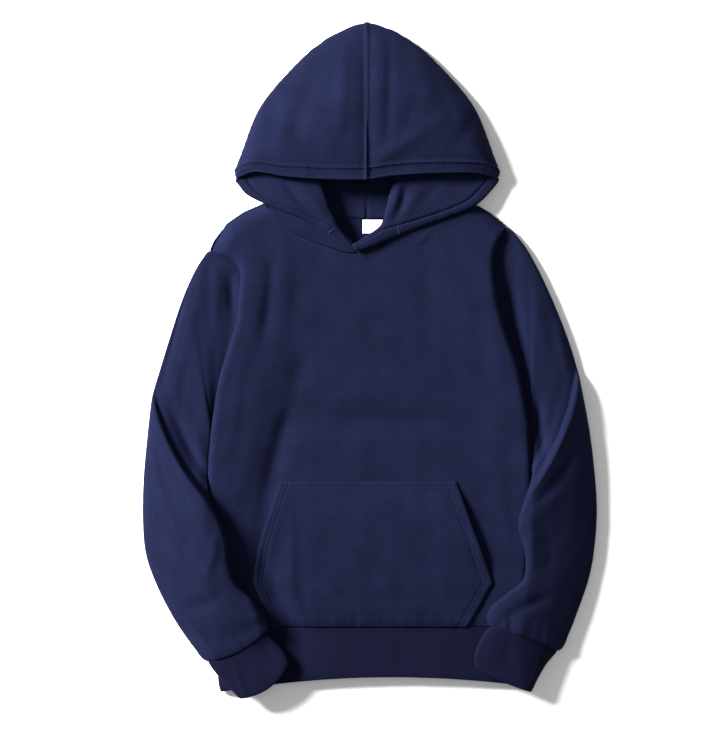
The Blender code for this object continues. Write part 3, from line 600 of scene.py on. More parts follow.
def crease_relief(x, y, creases):
    """Rise at each place: every crease is a row of soft dabs that fades towards both ends."""
    x, y = np.broadcast_arrays(np.asarray(x, float), y)
    total = np.zeros(x.shape)
    for x1, y1, x2, y2, x3, y3, wide, rise in zip(*creases):
        length = math.dist((x1, y1), (x2, y2)) + math.dist((x2, y2), (x3, y3))
        share = np.linspace(0, 1, max(4, math.ceil(length / wide / 0.8)) + 1)
        weights = ((1 - share) * (1 - 2 * share), 4 * share * (1 - share), share * (2 * share - 1))
        line_x = weights[0] * x1 + weights[1] * x2 + weights[2] * x3
        line_y = weights[0] * y1 + weights[1] * y2 + weights[2] * y3
        reach = 3 * wide
        near = ((x > line_x.min() - reach) & (x < line_x.max() + reach)
                & (y > line_y.min() - reach) & (y < line_y.max() + reach))
        gaps = (x[near][:, None] - line_x) ** 2 + (y[near][:, None] - line_y) ** 2
        dab = rise * length / (len(share) - 1) / (wide * math.sqrt(math.pi))
        total[near] += np.exp(-gaps / wide ** 2) @ (dab * np.sin(math.pi * share) ** 0.6)
    return total


def waver(x, y):
    """Slight unevenness of cloth that lies slack."""
    return (0.35 * np.sin(x / 13.1 + 0.8 * np.sin(y / 21.7)) * np.sin(y / 17.3 + 1.1)
            + 0.22 * np.sin((x + 0.7 * y) / 7.9 + 2.0) * np.sin((y - 0.4 * x) / 11.3))


def front_height(x, y):
    """Height of the front's cloth inside its two side folds."""
    height = FRONT_REST + fold_relief(x, y, FRONT_FOLDS) + crease_relief(x, y, FRONT_CREASES)
    height = height + waver(x, y)
    for side in (-1, 1):
        ridge_x, rise = ridge(side, y)
        inward = np.maximum(0.0, (ridge_x - x) * side)
        height = height + rise * np.exp(-(inward / RIDGE_SPREAD) ** 2)
    for shoulder in SHOULDERS:
        gap = distance_to_line(x, y, shoulder)
        drop = mix(LAP + FLOOR_CLOTH, height, np.sin(math.pi / 2 * np.clip(gap / SHOULDER_DROP, 0, 1)))
        height = np.where(gap < SHOULDER_DROP, drop, height)
    return height


def edge(side, at):
    """Fold line of the front at a place along EDGE, with its outward direction."""
    xs, ys = read(EDGE, side, "x"), read(EDGE, side, "y")
    at = np.asarray(at, float)
    dx = bend(xs, at + 0.05) - bend(xs, at - 0.05)
    dy = bend(ys, at + 0.05) - bend(ys, at - 0.05)
    size = np.hypot(dx, dy)
    return bend(xs, at), bend(ys, at), side * dy / size, -side * dx / size


def edge_roll(side, at):
    """Radius of the fold's roll, how far round it goes and where its cloth ends."""
    wrap = step(read(EDGE, side, "wrap"), at)
    return step(read(EDGE, side, "roll"), at), np.radians(wrap), step(EDGE.end, at)


def outline_point(points, share):
    """Point at a share across an upper outline."""
    return np.interp(share, points.across, points.x), np.interp(share, points.across, points.y)


def inset_edge(side, at, inset):
    """Point on the front's fold line, moved in by what inset gives there."""
    x, y, nx, ny = edge(side, at)
    pull = inset(side, at)
    return x - nx * pull, y - ny * pull


def body_place(top, across, up, inset):
    """Even net from the waist line to the upper outline, drawn out to the two long edges."""
    x, y = 0.0, 0.0
    ends = []
    for side, weight in ((-1, (1 - across) ** EDGE_FADE), (1, across ** EDGE_FADE)):
        low, high = inset_edge(side, 0, inset), inset_edge(side, TOP_ROW, inset)
        here = inset_edge(side, up * TOP_ROW, inset)
        chord = mix_points(low, high, up)
        x = x + (here[0] - chord[0]) * weight
        y = y + (here[1] - chord[1]) * weight
        ends.append((low, high))
    xs, ys = top.x.copy(), top.y.copy()
    (xs[0], ys[0]), (xs[-1], ys[-1]) = ends[0][1], ends[1][1]
    waist = mix_points(ends[0][0], ends[1][0], across)
    spine = mix_points(waist, outline_point(top._replace(x=xs, y=ys), across), up)
    return x + spine[0], y + spine[1]


def front_place(across, up):
    """Front panel: the middle lies over the body and each side rolls under."""
    x, y = body_place(FRONT_TOP, np.clip(across, 0, 1), up, lambda side, at: edge_roll(side, at)[0])
    z = front_height(x, y)
    for side, turned in ((-1, -across), (1, across - 1)):
        edge_x, edge_y, nx, ny = edge(side, up * TOP_ROW)
        radius, wrap, end = edge_roll(side, up * TOP_ROW)
        turn = mix(math.pi / 2, -wrap, np.clip(turned, 0, 1))
        half = np.maximum(0.0, z - end) / (1 + np.sin(wrap))
        reach = radius * (1 - np.cos(turn))
        x = np.where(turned > 0, edge_x - nx * reach, x)
        y = np.where(turned > 0, edge_y - ny * reach, y)
        z = np.where(turned > 0, z - half + half * np.sin(turn), z)
    return x, y, z


def back_inset(side, at):
    """How far inside the front's fold line the back ends."""
    radius, wrap, _end = edge_roll(side, at)
    return mix(-1.5, radius * (1 - np.cos(wrap)), ease(at - UNDERARM_ROW + 1))


def back_place(across, up):
    """Back panel: it rests on the table in long soft hollows."""
    x, y = body_place(BACK_TOP, across, up, back_inset)
    return x, y, FLOOR_CLOTH + crease_relief(x, y, UNDER_CREASES)


def body_support(x, y, ramp=SLEEVE_RAMP, slack=0.0):
    """Height at which cloth laid across a side of the body comes to rest."""
    height = 0.0
    for side in (-1, 1):
        ridge_x, rise = ridge(side, y)
        inward = (ridge_x - x) * side + 9.0
        crest = FRONT_REST + rise + CLOTH + LAID_CLEARANCE
        inside = mix(crest, front_height(x, y) + CLOTH + LAID_CLEARANCE, ease(inward / SLEEVE_BRIDGE))
        down = np.clip(1 + inward / ramp, 0, 1)
        here = np.where(inward < 0, crest * mix(ease(down), down, slack), inside)
        height = np.where((x < 0) == (side < 0), here, height)
    return height


def supports(x, y):
    """Height of what lies under a tube's bottom, and the slacker one that its top drapes over."""
    return body_support(x, y), body_support(x, y, DRAPE_RAMP, DRAPE_SLACK)


def armhole_place(side, share):
    """Where the sleeve begins: beside the front's edge at the tip, under it further down."""
    at = mix(TOP_ROW - SHOULDER_TUCK, UNDERARM_ROW + 0.3, share)
    x, y, nx, ny = edge(side, at)
    radius, wrap, _end = edge_roll(side, at)
    over = front_height(x, y)
    reach = radius * (1 - np.cos(wrap)) + mix(-0.6, 1.5, np.clip((over - START_TOP) / LAP, 0, 1))
    return x - nx * reach, y - ny * reach, np.minimum(over, START_TOP) - START_TOP


def section_place(rows, at, share):
    """Place on a sleeve section, outer edge to inner edge, bowed towards the cuff."""
    outer = (bend(rows.outer_x, at), bend(rows.outer_y, at))
    inner = (bend(rows.inner_x, at), bend(rows.inner_y, at))
    x, y = mix_points(outer, inner, share)
    run = (inner[0] - outer[0], inner[1] - outer[1])
    side = 1 if rows.outer_x[0] < 0 else -1
    push = side * bend(rows.bow, at) * 4 * share * (1 - share) / np.hypot(*run)
    return x + push * run[1], y - push * run[0]


def flat_ring(around):
    """Share across a flattened tube, and how far up or down, at a share of the way round it."""
    turn = around * 2 * math.pi
    cosine = np.cos(turn)
    return (1 - np.copysign(np.abs(cosine) ** 0.8, cosine)) / 2, np.sin(turn)


def ring_height(sine, middle, top, top_power, bottom, bottom_gain=1.2, bottom_power=0.4):
    """Height round a flattened tube, from its edge to its top and its bottom."""
    up = mix(middle, top, np.maximum(sine, 0) ** top_power)
    down = mix(middle, bottom, np.minimum(1.0, bottom_gain * np.maximum(-sine, 0) ** bottom_power))
    return np.where(sine >= 0, up, down)


def sleeve_place(side, around, along):
    """Sleeve: begins along the armhole and becomes a flattened tube."""
    rows = SLEEVES[side]
    at = along * len(rows.depth)
    share, sine = flat_ring(around)
    blend = ease(at)
    section = np.maximum(at - 1, 0.0)
    x, y = section_place(rows, section, share)
    start_x, start_y, low = armhole_place(side, share)
    x, y = mix_points((start_x, start_y), (x, y), np.minimum(at, 1))
    lift = step(rows.lift, section)
    begin = OVERLAP * (1 - ease((at - 0.25) / 0.35))
    under, over = (height * lift + begin for height in supports(x, y))
    lean = blend * (2 * share - 1)
    slant = SLEEVE_SLANT[side] * lean
    depth = mix(SLEEVE_START_DEPTH, step(rows.depth, section), blend)
    depth = depth * (1 + mix(START_LEAN, END_LEAN, lift) * slant)
    z = ring_height(sine, under + SLEEVE_EDGE, over + depth, mix(0.25, 0.5 - 0.2 * slant, blend),
                    under + FLOOR_CLOTH)
    z = np.maximum(z + low * (1 - ease(at)), FLOOR_CLOTH)
    z = z + ease(sine / 0.45) * (crease_relief(x, y, SLEEVE_CREASES[side]) + waver(x, y))
    return x, y, z + ease(-sine / 0.45) * crease_relief(x, y, UNDER_CREASES)


def tucked_place(rows, around, at):
    """Place on a ring that lies one lap inside the sleeve's own ring."""
    share, sine = flat_ring(around)
    x, y = section_place(rows, at, mix(share, 0.5, CUFF_INSET))
    under, over = supports(x, y)
    top = SLEEVE_END_DEPTH * (1 + END_LEAN * (2 * share - 1)) - CUFF_LAP
    return x, y, ring_height(sine, under + CUFF_TUCKED_EDGE, over + top, 0.55, under + FLOOR_CLOTH + CUFF_LAP)


def cuff_place(side, around, along):
    """Cuff: a flattened tube whose upper end is tucked just inside the sleeve's end."""
    rows, last = CUFFS[side], len(SLEEVES[side].depth) - 1
    at = along * (len(rows.depth) - 1)
    share, sine = flat_ring(around)
    x, y = section_place(rows, at, share)
    under, over = supports(x, y)
    z = ring_height(sine, under + SLEEVE_EDGE, over + step(rows.depth, at), 0.5 - 0.2 * (2 * share - 1),
                    under + FLOOR_CLOTH)
    tuck = np.minimum(last, last - CUFF_TUCK * (1 - at / CUFF_FREE))
    tucked = tucked_place(SLEEVES[side], around, tuck)
    x, y, z = mix_points(tucked, (x, y, z), ease((at - CUFF_FREE) / (1 - CUFF_FREE)))
    return x, y, z + ease(sine / 0.45) * crease_relief(x, y, CUFF_CREASES[side])


def band_place(around, along):
    """Waist band: a flattened tube tucked just inside the body's lower edge."""
    at = place_in(BAND.down, along)
    share, sine = flat_ring(around)
    right = (bend(BAND.right_x, at), bend(BAND.right_y, at))
    left = (bend(BAND.left_x, at), bend(BAND.left_y, at))
    x, y = mix_points(right, left, share)
    y = y + (bend(BAND.middle_y, at) - (right[1] + left[1]) / 2) * 4 * share * (1 - share)
    tuck = WAIST_TUCK * (1 - ease((along - 0.06) / 0.2))
    middle = mix(BAND_TUCKED_EDGE, BAND_EDGE, ease(along / 0.4))
    top = front_height(x, y) - BAND_DROP * ease(along / 0.3) - tuck + crease_relief(x, y, BAND_CREASES)
    return x, y, ring_height(sine, middle, top, 0.5, FLOOR_CLOTH + tuck, 1.15, 0.45)


def pocket_place(across, up):
    """Pouch pocket: the front's own surface moved out, puffed and open at both slanted sides."""
    at = up * (len(POCKET.y) - 1)
    y, right, left = (np.interp(at, np.arange(len(POCKET.y)), column)
                      for column in (POCKET.y, POCKET.right_x, POCKET.left_x))
    x = mix(right, left, across)
    lift = step(POCKET.puff, at) * (4 * across * (1 - across)) ** 0.5
    lift = np.maximum(lift, step(POCKET.right_open, at) * (1 - across) ** 2)
    lift = np.maximum(lift, step(POCKET.left_open, at) * across ** 2)
    return x, y, front_height(x, y) + OVERLAP + lift + crease_relief(x, y, POCKET_CREASES)


def label_place(across, up):
    """Neck label: a flat tape that curls very slightly."""
    return (LABEL_PLACE[0] + LABEL_SIZE[0] * (across - 0.5), LABEL_PLACE[1] + LABEL_SIZE[1] * (up - 0.5),
            LABEL_HEIGHT + LABEL_CURL * np.sin(across * 5 + 1) * np.sin(up * 3))


def neck_outline(side, seam):
    """Neckline of the front up to the shoulder, and of the back beyond it."""
    shoulder = NECK_SHOULDERS[side]
    front = outline_point(FRONT_TOP, mix(CENTRE_FRONT, shoulder, seam))
    back = outline_point(BACK_TOP, mix(shoulder, CENTRE_BACK, seam - 1))
    return np.where(seam <= 1, front[0], back[0]), np.where(seam <= 1, front[1], back[1])


def neck_seam(side, seam):
    """Place on the neck seam where a hood half laps over the front or the back."""
    seam = np.asarray(seam, float)
    ahead = seam <= 1
    x, y = neck_outline(side, seam)
    low = np.where(ahead, seam - 0.02, np.maximum(seam - 0.01, 1.00001))
    high = np.where(ahead, seam, np.minimum(seam + 0.01, 2))
    start, end = neck_outline(side, low), neck_outline(side, high)
    run = np.hypot(end[0] - start[0], end[1] - start[1])
    across, down = np.abs(end[0] - start[0]) / run, side * (end[1] - start[1]) / run
    down = np.where(ahead, down, -down)
    lap = mix(SHOULDER_LAP, NECK_LAP, ease(np.abs(seam - 1) / LAP_TURN))
    x, y = x + down * lap, y - across * lap
    deeper = front_height(x + down * NECK_REACH, y - across * NECK_REACH)
    height = np.where(ahead, np.maximum(front_height(x, y), deeper), FLOOR_CLOTH) + NECK_RISE
    out = (x - HOOD_CENTRE) * side
    out = np.where(ahead, out, np.maximum(out, 0))
    return np.stack((out, y, mix(SHOULDER_NECK, height, ease(np.abs(seam - 1) / NECK_TURN))), axis=-1)


def at_height(point, z):
    """The same place at another height."""
    return point[0], point[1], z


def flap_points(side, row):
    """Free edge, crest, the fold beyond it, and back underneath to the neck seam."""
    rim = (row.rim_out, row.rim_y, row.rim_z)
    crest = (row.crest_out, row.crest_y, row.crest_z)
    neck = neck_seam(side, row.seam)
    width = math.dist(rim[:2], crest[:2])
    points = []
    for share, puff in zip(FLAP_STEPS, FLAP_PUFF):
        out, y, z = mix_points(rim, crest, share)
        points.append((out, y, z + puff * min(1, width / FLAP_FULL_WIDTH)))
    low = row.crest_z - row.fold_depth
    return points + [
        at_height(mix_points(rim, crest, 1 + row.fold_depth / 2 / width), row.crest_z - row.fold_depth / 2),
        at_height(mix_points(crest, neck, TUCK_LEAN), low),
        at_height(mix_points(crest, neck, 0.5), mix(low, neck[2], row.root_share)),
    ]


def crown_points(side, row):
    """Upper free edge, crown, silhouette, and back underneath over the crest to the neck seam."""
    rim = (row.rim_out, read(row, side, "rim_y"), row.rim_z)
    edge_point = (row.side_out, row.side_y, row.side_z)
    crest = (read(row, side, "crest"), row.crest_y, row.crest_z)
    neck = neck_seam(side, row.seam)
    slack = 1 - row.fold_depth / FULL_FOLD
    fold = mix_points(crest, neck, FOLD_LEAN * slack)
    beyond = row.fold_depth / 2 / math.dist(edge_point[:2], crest[:2])
    fold = [place + (end - start) * beyond for place, start, end in zip(fold, edge_point, crest)]
    fall = max(row.fold_depth, (row.crest_z - FLOOR_CLOTH) * CREST_FALL)
    return [
        rim,
        at_height(mix_points(rim, edge_point, CROWN_LEAN[side]), row.crown_z),
        edge_point,
        at_height(mix_points(edge_point, crest, BACK_LEAN), row.back_z),
        crest,
        at_height(fold, row.crest_z - fall / 2),
        at_height(mix_points(crest, neck, mix(TUCK_LEAN, FOLD_LEAN * 2, slack)), row.crest_z - fall),
        at_height(mix_points(crest, neck, ROOT_LEAN), mix(FLOOR_CLOTH, row.crest_z, ROOT_SHARE)),
    ]


def rows_of(rows):
    """Rows of a table one after another, each read by column name."""
    return [type(rows)(*values) for values in zip(*rows)]


def hood_surface(side, at, places):
    """Hood half: at runs from the centre front to the centre seam, places from the edge to the neck."""
    rows = [flap_points(side, row) for row in rows_of(FLAPS[side])]
    rows += [crown_points(side, row) for row in rows_of(CROWN)]
    seams = np.concatenate((FLAPS[side].seam, CROWN.seam))
    neck = neck_seam(side, np.interp(at, np.arange(len(seams)), seams))
    spine = np.concatenate((bend(np.array(rows, float), at), neck[:, None]), axis=1)
    reach = np.sqrt(np.linalg.norm(np.diff(spine, axis=1), axis=2, keepdims=True))
    last = spine.shape[1] - 2
    lines = []
    for place in places:
        low = min(int(place), last)
        share = place - low
        run = spine[:, low + 1] - spine[:, low]
        size = reach[:, low]
        slopes = [run, run]
        for index, other in ((0, low - 1), (1, low + 1)):
            if 0 <= other <= last:
                near = reach[:, other]
                beside = spine[:, other + 1] - spine[:, other]
                slopes[index] = (beside * size / near + run * near / size) * size / (near + size)
        lines.append(curve(spine[:, low], spine[:, low + 1], *slopes, share))
    out, y, z = np.moveaxis(np.stack(lines, axis=1), 2, 0)
    x = HOOD_CENTRE + side * out
    crown = ease((at - len(FLAPS[side].seam) + 2) / 2)[:, None]
    places = np.asarray(places)[None, :]
    top = ease((1.95 - places) / 0.3) * crown
    mouth = ease((4.2 - places) / 0.4) * (1 - crown)
    z = z + top * (crease_relief(x, y, CROWN_CREASES) + waver(x, y))
    z = z + mouth * crease_relief(x, y, MOUTH_CREASES)
    z = z + ease((places - 2.3) / 0.4) * crown * crease_relief(x, y, UNDER_CREASES)
    return np.stack((x, y, np.maximum(z, FLOOR_CLOTH)), axis=2)


def spread(places, counts):
    """Split each span between neighbouring places into its own number of even steps."""
    parts = [np.linspace(low, high, count, endpoint=False)
             for low, high, count in zip(places, places[1:], counts)]
    return np.concatenate(parts + [[places[-1]]])


def surface(place, across, along):
    """Evaluate a place function over a net of the two ranges."""
    values = place(across[:, None], along[None, :])
    shape = (len(across), len(along))
    return np.stack([np.broadcast_to(value, shape) for value in values], axis=2)


def normals(grid, side, closed):
    """Outward direction of the net at each of its points."""
    if closed:
        ring = grid[:-1]
        du = np.roll(ring, -1, axis=0) - np.roll(ring, 1, axis=0)
        du = np.concatenate((du, du[:1]))
    else:
        du = np.gradient(grid, axis=0)
    cross = np.cross(du, np.gradient(grid, axis=1)) * side
    return cross / np.maximum(np.linalg.norm(cross, axis=2, keepdims=True), 1e-9)


def lengths(grid, axis):
    """Distance along the cloth from the first edge of the net."""
    steps = np.linalg.norm(np.diff(grid, axis=axis), axis=2)
    zero = np.zeros_like(steps[:1] if axis == 0 else steps[:, :1])
    return np.concatenate((zero, np.cumsum(steps, axis=axis)), axis=axis)


def run_back(grid, axis):
    """Distance along the cloth to the last edge of the net."""
    run = lengths(grid, axis)
    return (run[-1:] if axis == 0 else run[:, -1:]) - run


def net_pitch():
    """Width of the net's meshes in millimetres."""
    return bpy.context.scene.hoodie.net / MM


def count(length):
    """How many meshes of the net fit along a length given in millimetres."""
    return max(2, round(length / net_pitch()))


def redraw(grid, axis, near, far, pitch=None):
    """Redraw a net along one axis: lines at fixed distances from both edges, even steps between them."""
    pitch = pitch or net_pitch()
    grid = np.moveaxis(grid, axis, 1)
    near, far = np.array(near, float), np.array(far, float)[::-1]
    runs = lengths(grid, 1)
    steps = max(2, round((runs[:, -1].mean() - near[-1] - far[0]) / pitch))
    lines = []
    for line, run in zip(grid, runs):
        fit = min(1.0, 0.7 * run[-1] / (near[-1] + far[0]))
        middle = np.linspace(near[-1] * fit, run[-1] - far[0] * fit, steps + 1)[1:-1]
        at = np.concatenate((near * fit, middle, run[-1] - far * fit))
        lines.append(np.stack([np.interp(at, run, line[:, i]) for i in range(3)], axis=1))
    return np.moveaxis(np.array(lines), 1, axis)


def seam_relief(*rows):
    """Rise that sewing gives a net, from rows of: run across a line, the line, half width and rise."""
    return sum(rise * np.exp(-((run - line) / wide) ** 2) for run, line, wide, rise in rows)


def uneven(run, pitch):
    """Irregular puckers along a seam, between -1 and 1."""
    turn = run / pitch
    return (np.sin(2 * math.pi * turn + 1.7 * np.sin(turn / 0.37))
            * (0.55 + 0.45 * np.sin(turn / 0.61 + 1.0)))


def srgb(text):
    """Linear colour of an sRGB hex value."""
    channels = [int(text[i:i + 2], 16) / 255 for i in (1, 3, 5)]
    return [c / 12.92 if c <= 0.04045 else ((c + 0.055) / 1.055) ** 2.4 for c in channels] + [1.0]


def add_node(tree, kind, settings=None, **links):
    """Add a node with its settings and its links, and return it."""
    node = tree.nodes.new(kind)
    for name, value in (settings or {}).items():
        if name in node.inputs:
            node.inputs[name].default_value = value
        else:
            setattr(node, name, value)
    for name, output in links.items():
        tree.links.new(output, node.inputs[name.replace("_", " ")])
    return node


def start_material(name, colour, roughness, sheen, tint="#5566AA"):
    """A new material with its shader's plain sockets set."""
    finish = bpy.data.materials.new(name)
    finish.use_nodes = True
    shader = finish.node_tree.nodes["Principled BSDF"]
    for socket, value in (("Base Color", srgb(colour)), ("Roughness", roughness), ("Metallic", 0.0),
                          ("IOR", 1.5), ("Specular IOR Level", 0.05), ("Sheen Weight", sheen),
                          ("Sheen Roughness", 0.35), ("Sheen Tint", srgb(tint))):
        shader.inputs[socket].default_value = value
    return finish, finish.node_tree, shader


def set_tones(ramp, *tones):
    """Place and colour of each stop of a colour ramp."""
    for stop, (place, colour) in zip(ramp.color_ramp.elements, tones):
        stop.position, stop.color = place, srgb(colour)


def wave_scale(pitch):
    """Scale of a wave texture whose bands are this many millimetres apart; it draws 20 in 2 pi units."""
    return 1000 / pitch * 2 * math.pi / 20


def fleece_material(name, settings):
    """Brushed cotton fleece: a matt napped knit with a faint halo of fibre ends."""
    finish, tree, shader = start_material(name, settings.fleece, 0.95, 0.05)
    cloth = add_node(tree, "ShaderNodeTexCoord").outputs["UV"]
    # The nap's tufts are about 1 mm wide. They are drawn at 3.3 mm, 300 to the metre, so that they show.
    nap = add_node(tree, "ShaderNodeTexNoise", {"Scale": 300, "Detail": 5.0, "Roughness": 0.75}, Vector=cloth)
    # Handling lays the nap in patches about 38 mm wide, 26 to the metre.
    patches = add_node(tree, "ShaderNodeTexNoise", {"Scale": 26, "Detail": 3.0, "Roughness": 0.6},
                       Vector=cloth)
    both = add_node(tree, "ShaderNodeMix", {"data_type": "FLOAT", "Factor": 0.3})
    tree.links.new(nap.outputs["Fac"], both.inputs[2])
    tree.links.new(patches.outputs["Fac"], both.inputs[3])
    # Painted shade: the ramp gives the nap's low places, between its tufts, the darker tone, mixed with a
    # random mottle from the patches.
    ramp = add_node(tree, "ShaderNodeValToRGB", Fac=both.outputs[0])
    set_tones(ramp, (0.36, settings.fleece_shade_and_mottle), (0.64, settings.fleece))
    tree.links.new(ramp.outputs["Color"], shader.inputs["Base Color"])
    bump = add_node(tree, "ShaderNodeBump", {"Strength": 0.6, "Distance": 0.0009}, Height=nap.outputs["Fac"])
    tree.links.new(bump.outputs["Normal"], shader.inputs["Normal"])
    return finish


def rib_material(name, settings):
    """One by one rib knit with a little elastane: fine upright ribs, flatter and tighter than the fleece."""
    finish, tree, shader = start_material(name, settings.rib, 0.9, 0.04)
    cloth = add_node(tree, "ShaderNodeTexCoord").outputs["UV"]
    # Ribs about 1.6 mm wide, drawn at 2.4 mm so that they show.
    ribs = add_node(tree, "ShaderNodeTexWave", {"Scale": wave_scale(2.4), "Distortion": 0.4, "Detail": 1.0,
                                                "Detail Scale": 2.0}, Vector=cloth)
    # Loops about 1 mm wide, drawn at 2 mm, 500 to the metre.
    nap = add_node(tree, "ShaderNodeTexNoise", {"Scale": 500, "Detail": 3.0, "Roughness": 0.6}, Vector=cloth)
    # Painted shade: the ramp gives the low places between the loops the darker tone, which otherwise is a
    # random mottle.
    ramp = add_node(tree, "ShaderNodeValToRGB", Fac=nap.outputs["Fac"])
    set_tones(ramp, (0.30, settings.rib_shade_and_mottle), (0.70, settings.rib))
    tree.links.new(ramp.outputs["Color"], shader.inputs["Base Color"])
    soft = add_node(tree, "ShaderNodeBump", {"Strength": 0.3, "Distance": 0.0004}, Height=nap.outputs["Fac"])
    bump = add_node(tree, "ShaderNodeBump", {"Strength": 0.12, "Distance": 0.0003},
                    Height=ribs.outputs["Fac"], Normal=soft.outputs["Normal"])
    tree.links.new(bump.outputs["Normal"], shader.inputs["Normal"])
    return finish


def tape_material(name, settings):
    """Woven satin tape: a pale, close, slightly glossy weave."""
    finish, tree, shader = start_material(name, settings.tape, 0.55, 0.05, "#FFFFFF")
    cloth = add_node(tree, "ShaderNodeTexCoord").outputs["UV"]
    # Threads of 0.2 mm, drawn at 0.8 mm so that they show close up.
    weave = add_node(tree, "ShaderNodeTexWave", {"Scale": wave_scale(0.8), "Distortion": 0.2}, Vector=cloth)
    bump = add_node(tree, "ShaderNodeBump", {"Strength": 0.2, "Distance": 0.0002},
                    Height=weave.outputs["Fac"])
    tree.links.new(bump.outputs["Normal"], shader.inputs["Normal"])
    return finish


def thread_material(name, settings):
    """Spun polyester sewing thread: two plies twisted together, a little glossier than the fleece."""
    finish, tree, shader = start_material(name, settings.thread, 0.6, 0.03)
    place = add_node(tree, "ShaderNodeTexCoord").outputs["Object"]
    twist = add_node(tree, "ShaderNodeTexWave", {"Scale": wave_scale(0.5), "Distortion": 1.0,
                                                 "bands_direction": "DIAGONAL"}, Vector=place)
    bump = add_node(tree, "ShaderNodeBump", {"Strength": 0.3, "Distance": 0.0002},
                    Height=twist.outputs["Fac"])
    tree.links.new(bump.outputs["Normal"], shader.inputs["Normal"])
    return finish


FINISHES = {
    "fleece": ("brushed_cotton_fleece", fleece_material),
    "rib": ("fine_rib_knit", rib_material),
    "tape": ("woven_satin_tape", tape_material),
    "thread": ("spun_polyester_thread", thread_material),
}
Cloth = namedtuple("Cloth", "piece size area grid out wall")


def add_object(name, data):
    """Put a new object with this data into the scene."""
    item = bpy.data.objects.new(name, data)
    bpy.context.scene.collection.objects.link(item)
    return item


def new_mesh(name, net):
    """Turn a bmesh into a mesh."""
    mesh = bpy.data.meshes.new(name)
    net.to_mesh(mesh)
    net.free()
    return mesh


def add_piece(name, net, finish):
    """Turn a bmesh into a smooth piece of the garment with its finish."""
    mesh = new_mesh(name, net)
    mesh.shade_smooth()
    piece = add_object(name, mesh)
    material, make = FINISHES[finish]
    mesh.materials.append(bpy.data.materials.get(material) or make(material, bpy.context.scene.hoodie))
    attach(piece, "root")
    return piece


def cloth_object(node, grid, side, finish="fleece", closed=False, relief=0.0, wall=CLOTH):
    """Net of cloth on the given surface, with its relief, wall, cloth coordinates and finish."""
    out = normals(grid, side, closed)
    grid = grid + out * np.atleast_3d(relief)
    grid[:, :, 2] = np.maximum(grid[:, :, 2], wall / 2)
    columns, rows = grid.shape[0] - 1, grid.shape[1] - 1
    across, along = lengths(grid, 0).mean(axis=1), lengths(grid, 1)
    net = bmesh.new()
    bmesh.ops.create_grid(net, x_segments=columns, y_segments=rows, size=0.5)
    cloth = net.loops.layers.uv.new("cloth")
    places = {point: (round((point.co.x + 0.5) * columns), round((point.co.y + 0.5) * rows))
              for point in net.verts}
    for face in net.faces:
        for corner in face.loops:
            column, row = places[corner.vert]
            corner[cloth].uv = (across[column] * MM, along[column, row] * MM)
    for point in net.verts:
        point.co = (grid[places[point]] + LAID_SHIFT) * MM
    if closed:
        bmesh.ops.remove_doubles(net, verts=net.verts, dist=0.00001)
    if side < 0:
        bmesh.ops.reverse_faces(net, faces=net.faces)
    piece = add_piece(node + "_" + finish, net, finish)
    solid = piece.modifiers.new("Wall", "SOLIDIFY")
    solid.thickness = wall * MM
    solid.offset = 0.0
    solid.use_even_offset = False
    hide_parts(node)
    area = sum(face.area for face in piece.data.polygons)
    length = along[:, -1].mean() * MM
    width = max(across[-1] * MM, area / length)
    return Cloth(piece, (width, length), area, grid, out, wall)


def seam_points(cloth, axis, line, low=0.0, high=1.0, outer=1):
    """Points and outward directions along a line of the net, on the cloth's face."""
    take = (slice(None), line) if axis == 0 else line
    points, out = cloth.grid[take], cloth.out[take] * outer
    first, last = round(low * (len(points) - 1)), round(high * (len(points) - 1)) + 1
    return (points + out * (cloth.wall / 2))[first:last], out[first:last]


def bartack(half, column, line):
    """Line across the hem where a bar of close stitches holds its end, on both faces."""
    lines = []
    for outer in (1, -1):
        points, out = seam_points(half, 1, column, outer=outer)
        lines.append((points[1:line + 1], out[1:line + 1]))
    return lines


def stitches(name, lines, pitch=STITCH_PITCH, size=STITCH):
    """One thread stitch after another along each line."""
    net = bmesh.new()
    for points, out in lines:
        run = np.concatenate(([0], np.cumsum(np.linalg.norm(np.diff(points, axis=0), axis=1))))
        at = np.arange(pitch / 2, run[-1], pitch)
        spots, starts, ends, ups = (
            np.stack([np.interp(place, run, values[:, i]) for i in range(3)], axis=1)
            for place, values in ((at, points), (at - 0.5, points), (at + 0.5, points), (at, out)))
        spots[:, 2] = np.maximum(spots[:, 2], size[1] / 2 + 0.1)
        for spot, start, end, up in zip(spots, starts, ends, ups):
            along = Vector(end - start).normalized()
            beside = Vector(up).cross(along).normalized()
            turn = Matrix((along, beside, along.cross(beside))).transposed().to_4x4()
            place = Matrix.Translation(Vector(spot + LAID_SHIFT) * MM)
            scale = Matrix.Diagonal([side * MM / 2 for side in size] + [1])
            bmesh.ops.create_icosphere(net, subdivisions=1, radius=1, matrix=place @ turn @ scale)
    return add_piece(name, net, "thread")


class HoodieSettings(bpy.types.PropertyGroup):
    """Sizes and colours of the hoodie."""
    net: FloatProperty(name="Net", description="Width of the cloth net's meshes", default=0.0035,
                       unit="LENGTH", subtype="DISTANCE")
    fleece: StringProperty(name="Fleece", description="Fleece colour, hex", default="#10142C")
    # The darker fleece tone is painted shade between the nap's tufts, with a random mottle.
    fleece_shade_and_mottle: StringProperty(name="Fleece dark", description="Fleece colour between its fibres, hex",
                                default="#090C1D")
    rib: StringProperty(name="Rib", description="Rib knit colour, hex", default="#0A0C21")
    # The darker rib tone is painted shade between the loops, with a random mottle.
    rib_shade_and_mottle: StringProperty(name="Rib dark", description="Rib colour between its loops, hex",
                             default="#08091B")
    tape: StringProperty(name="Tape", description="Neck tape colour, hex", default="#E9E9E8")
    thread: StringProperty(name="Thread", description="Sewing thread colour, hex", default="#151A36")


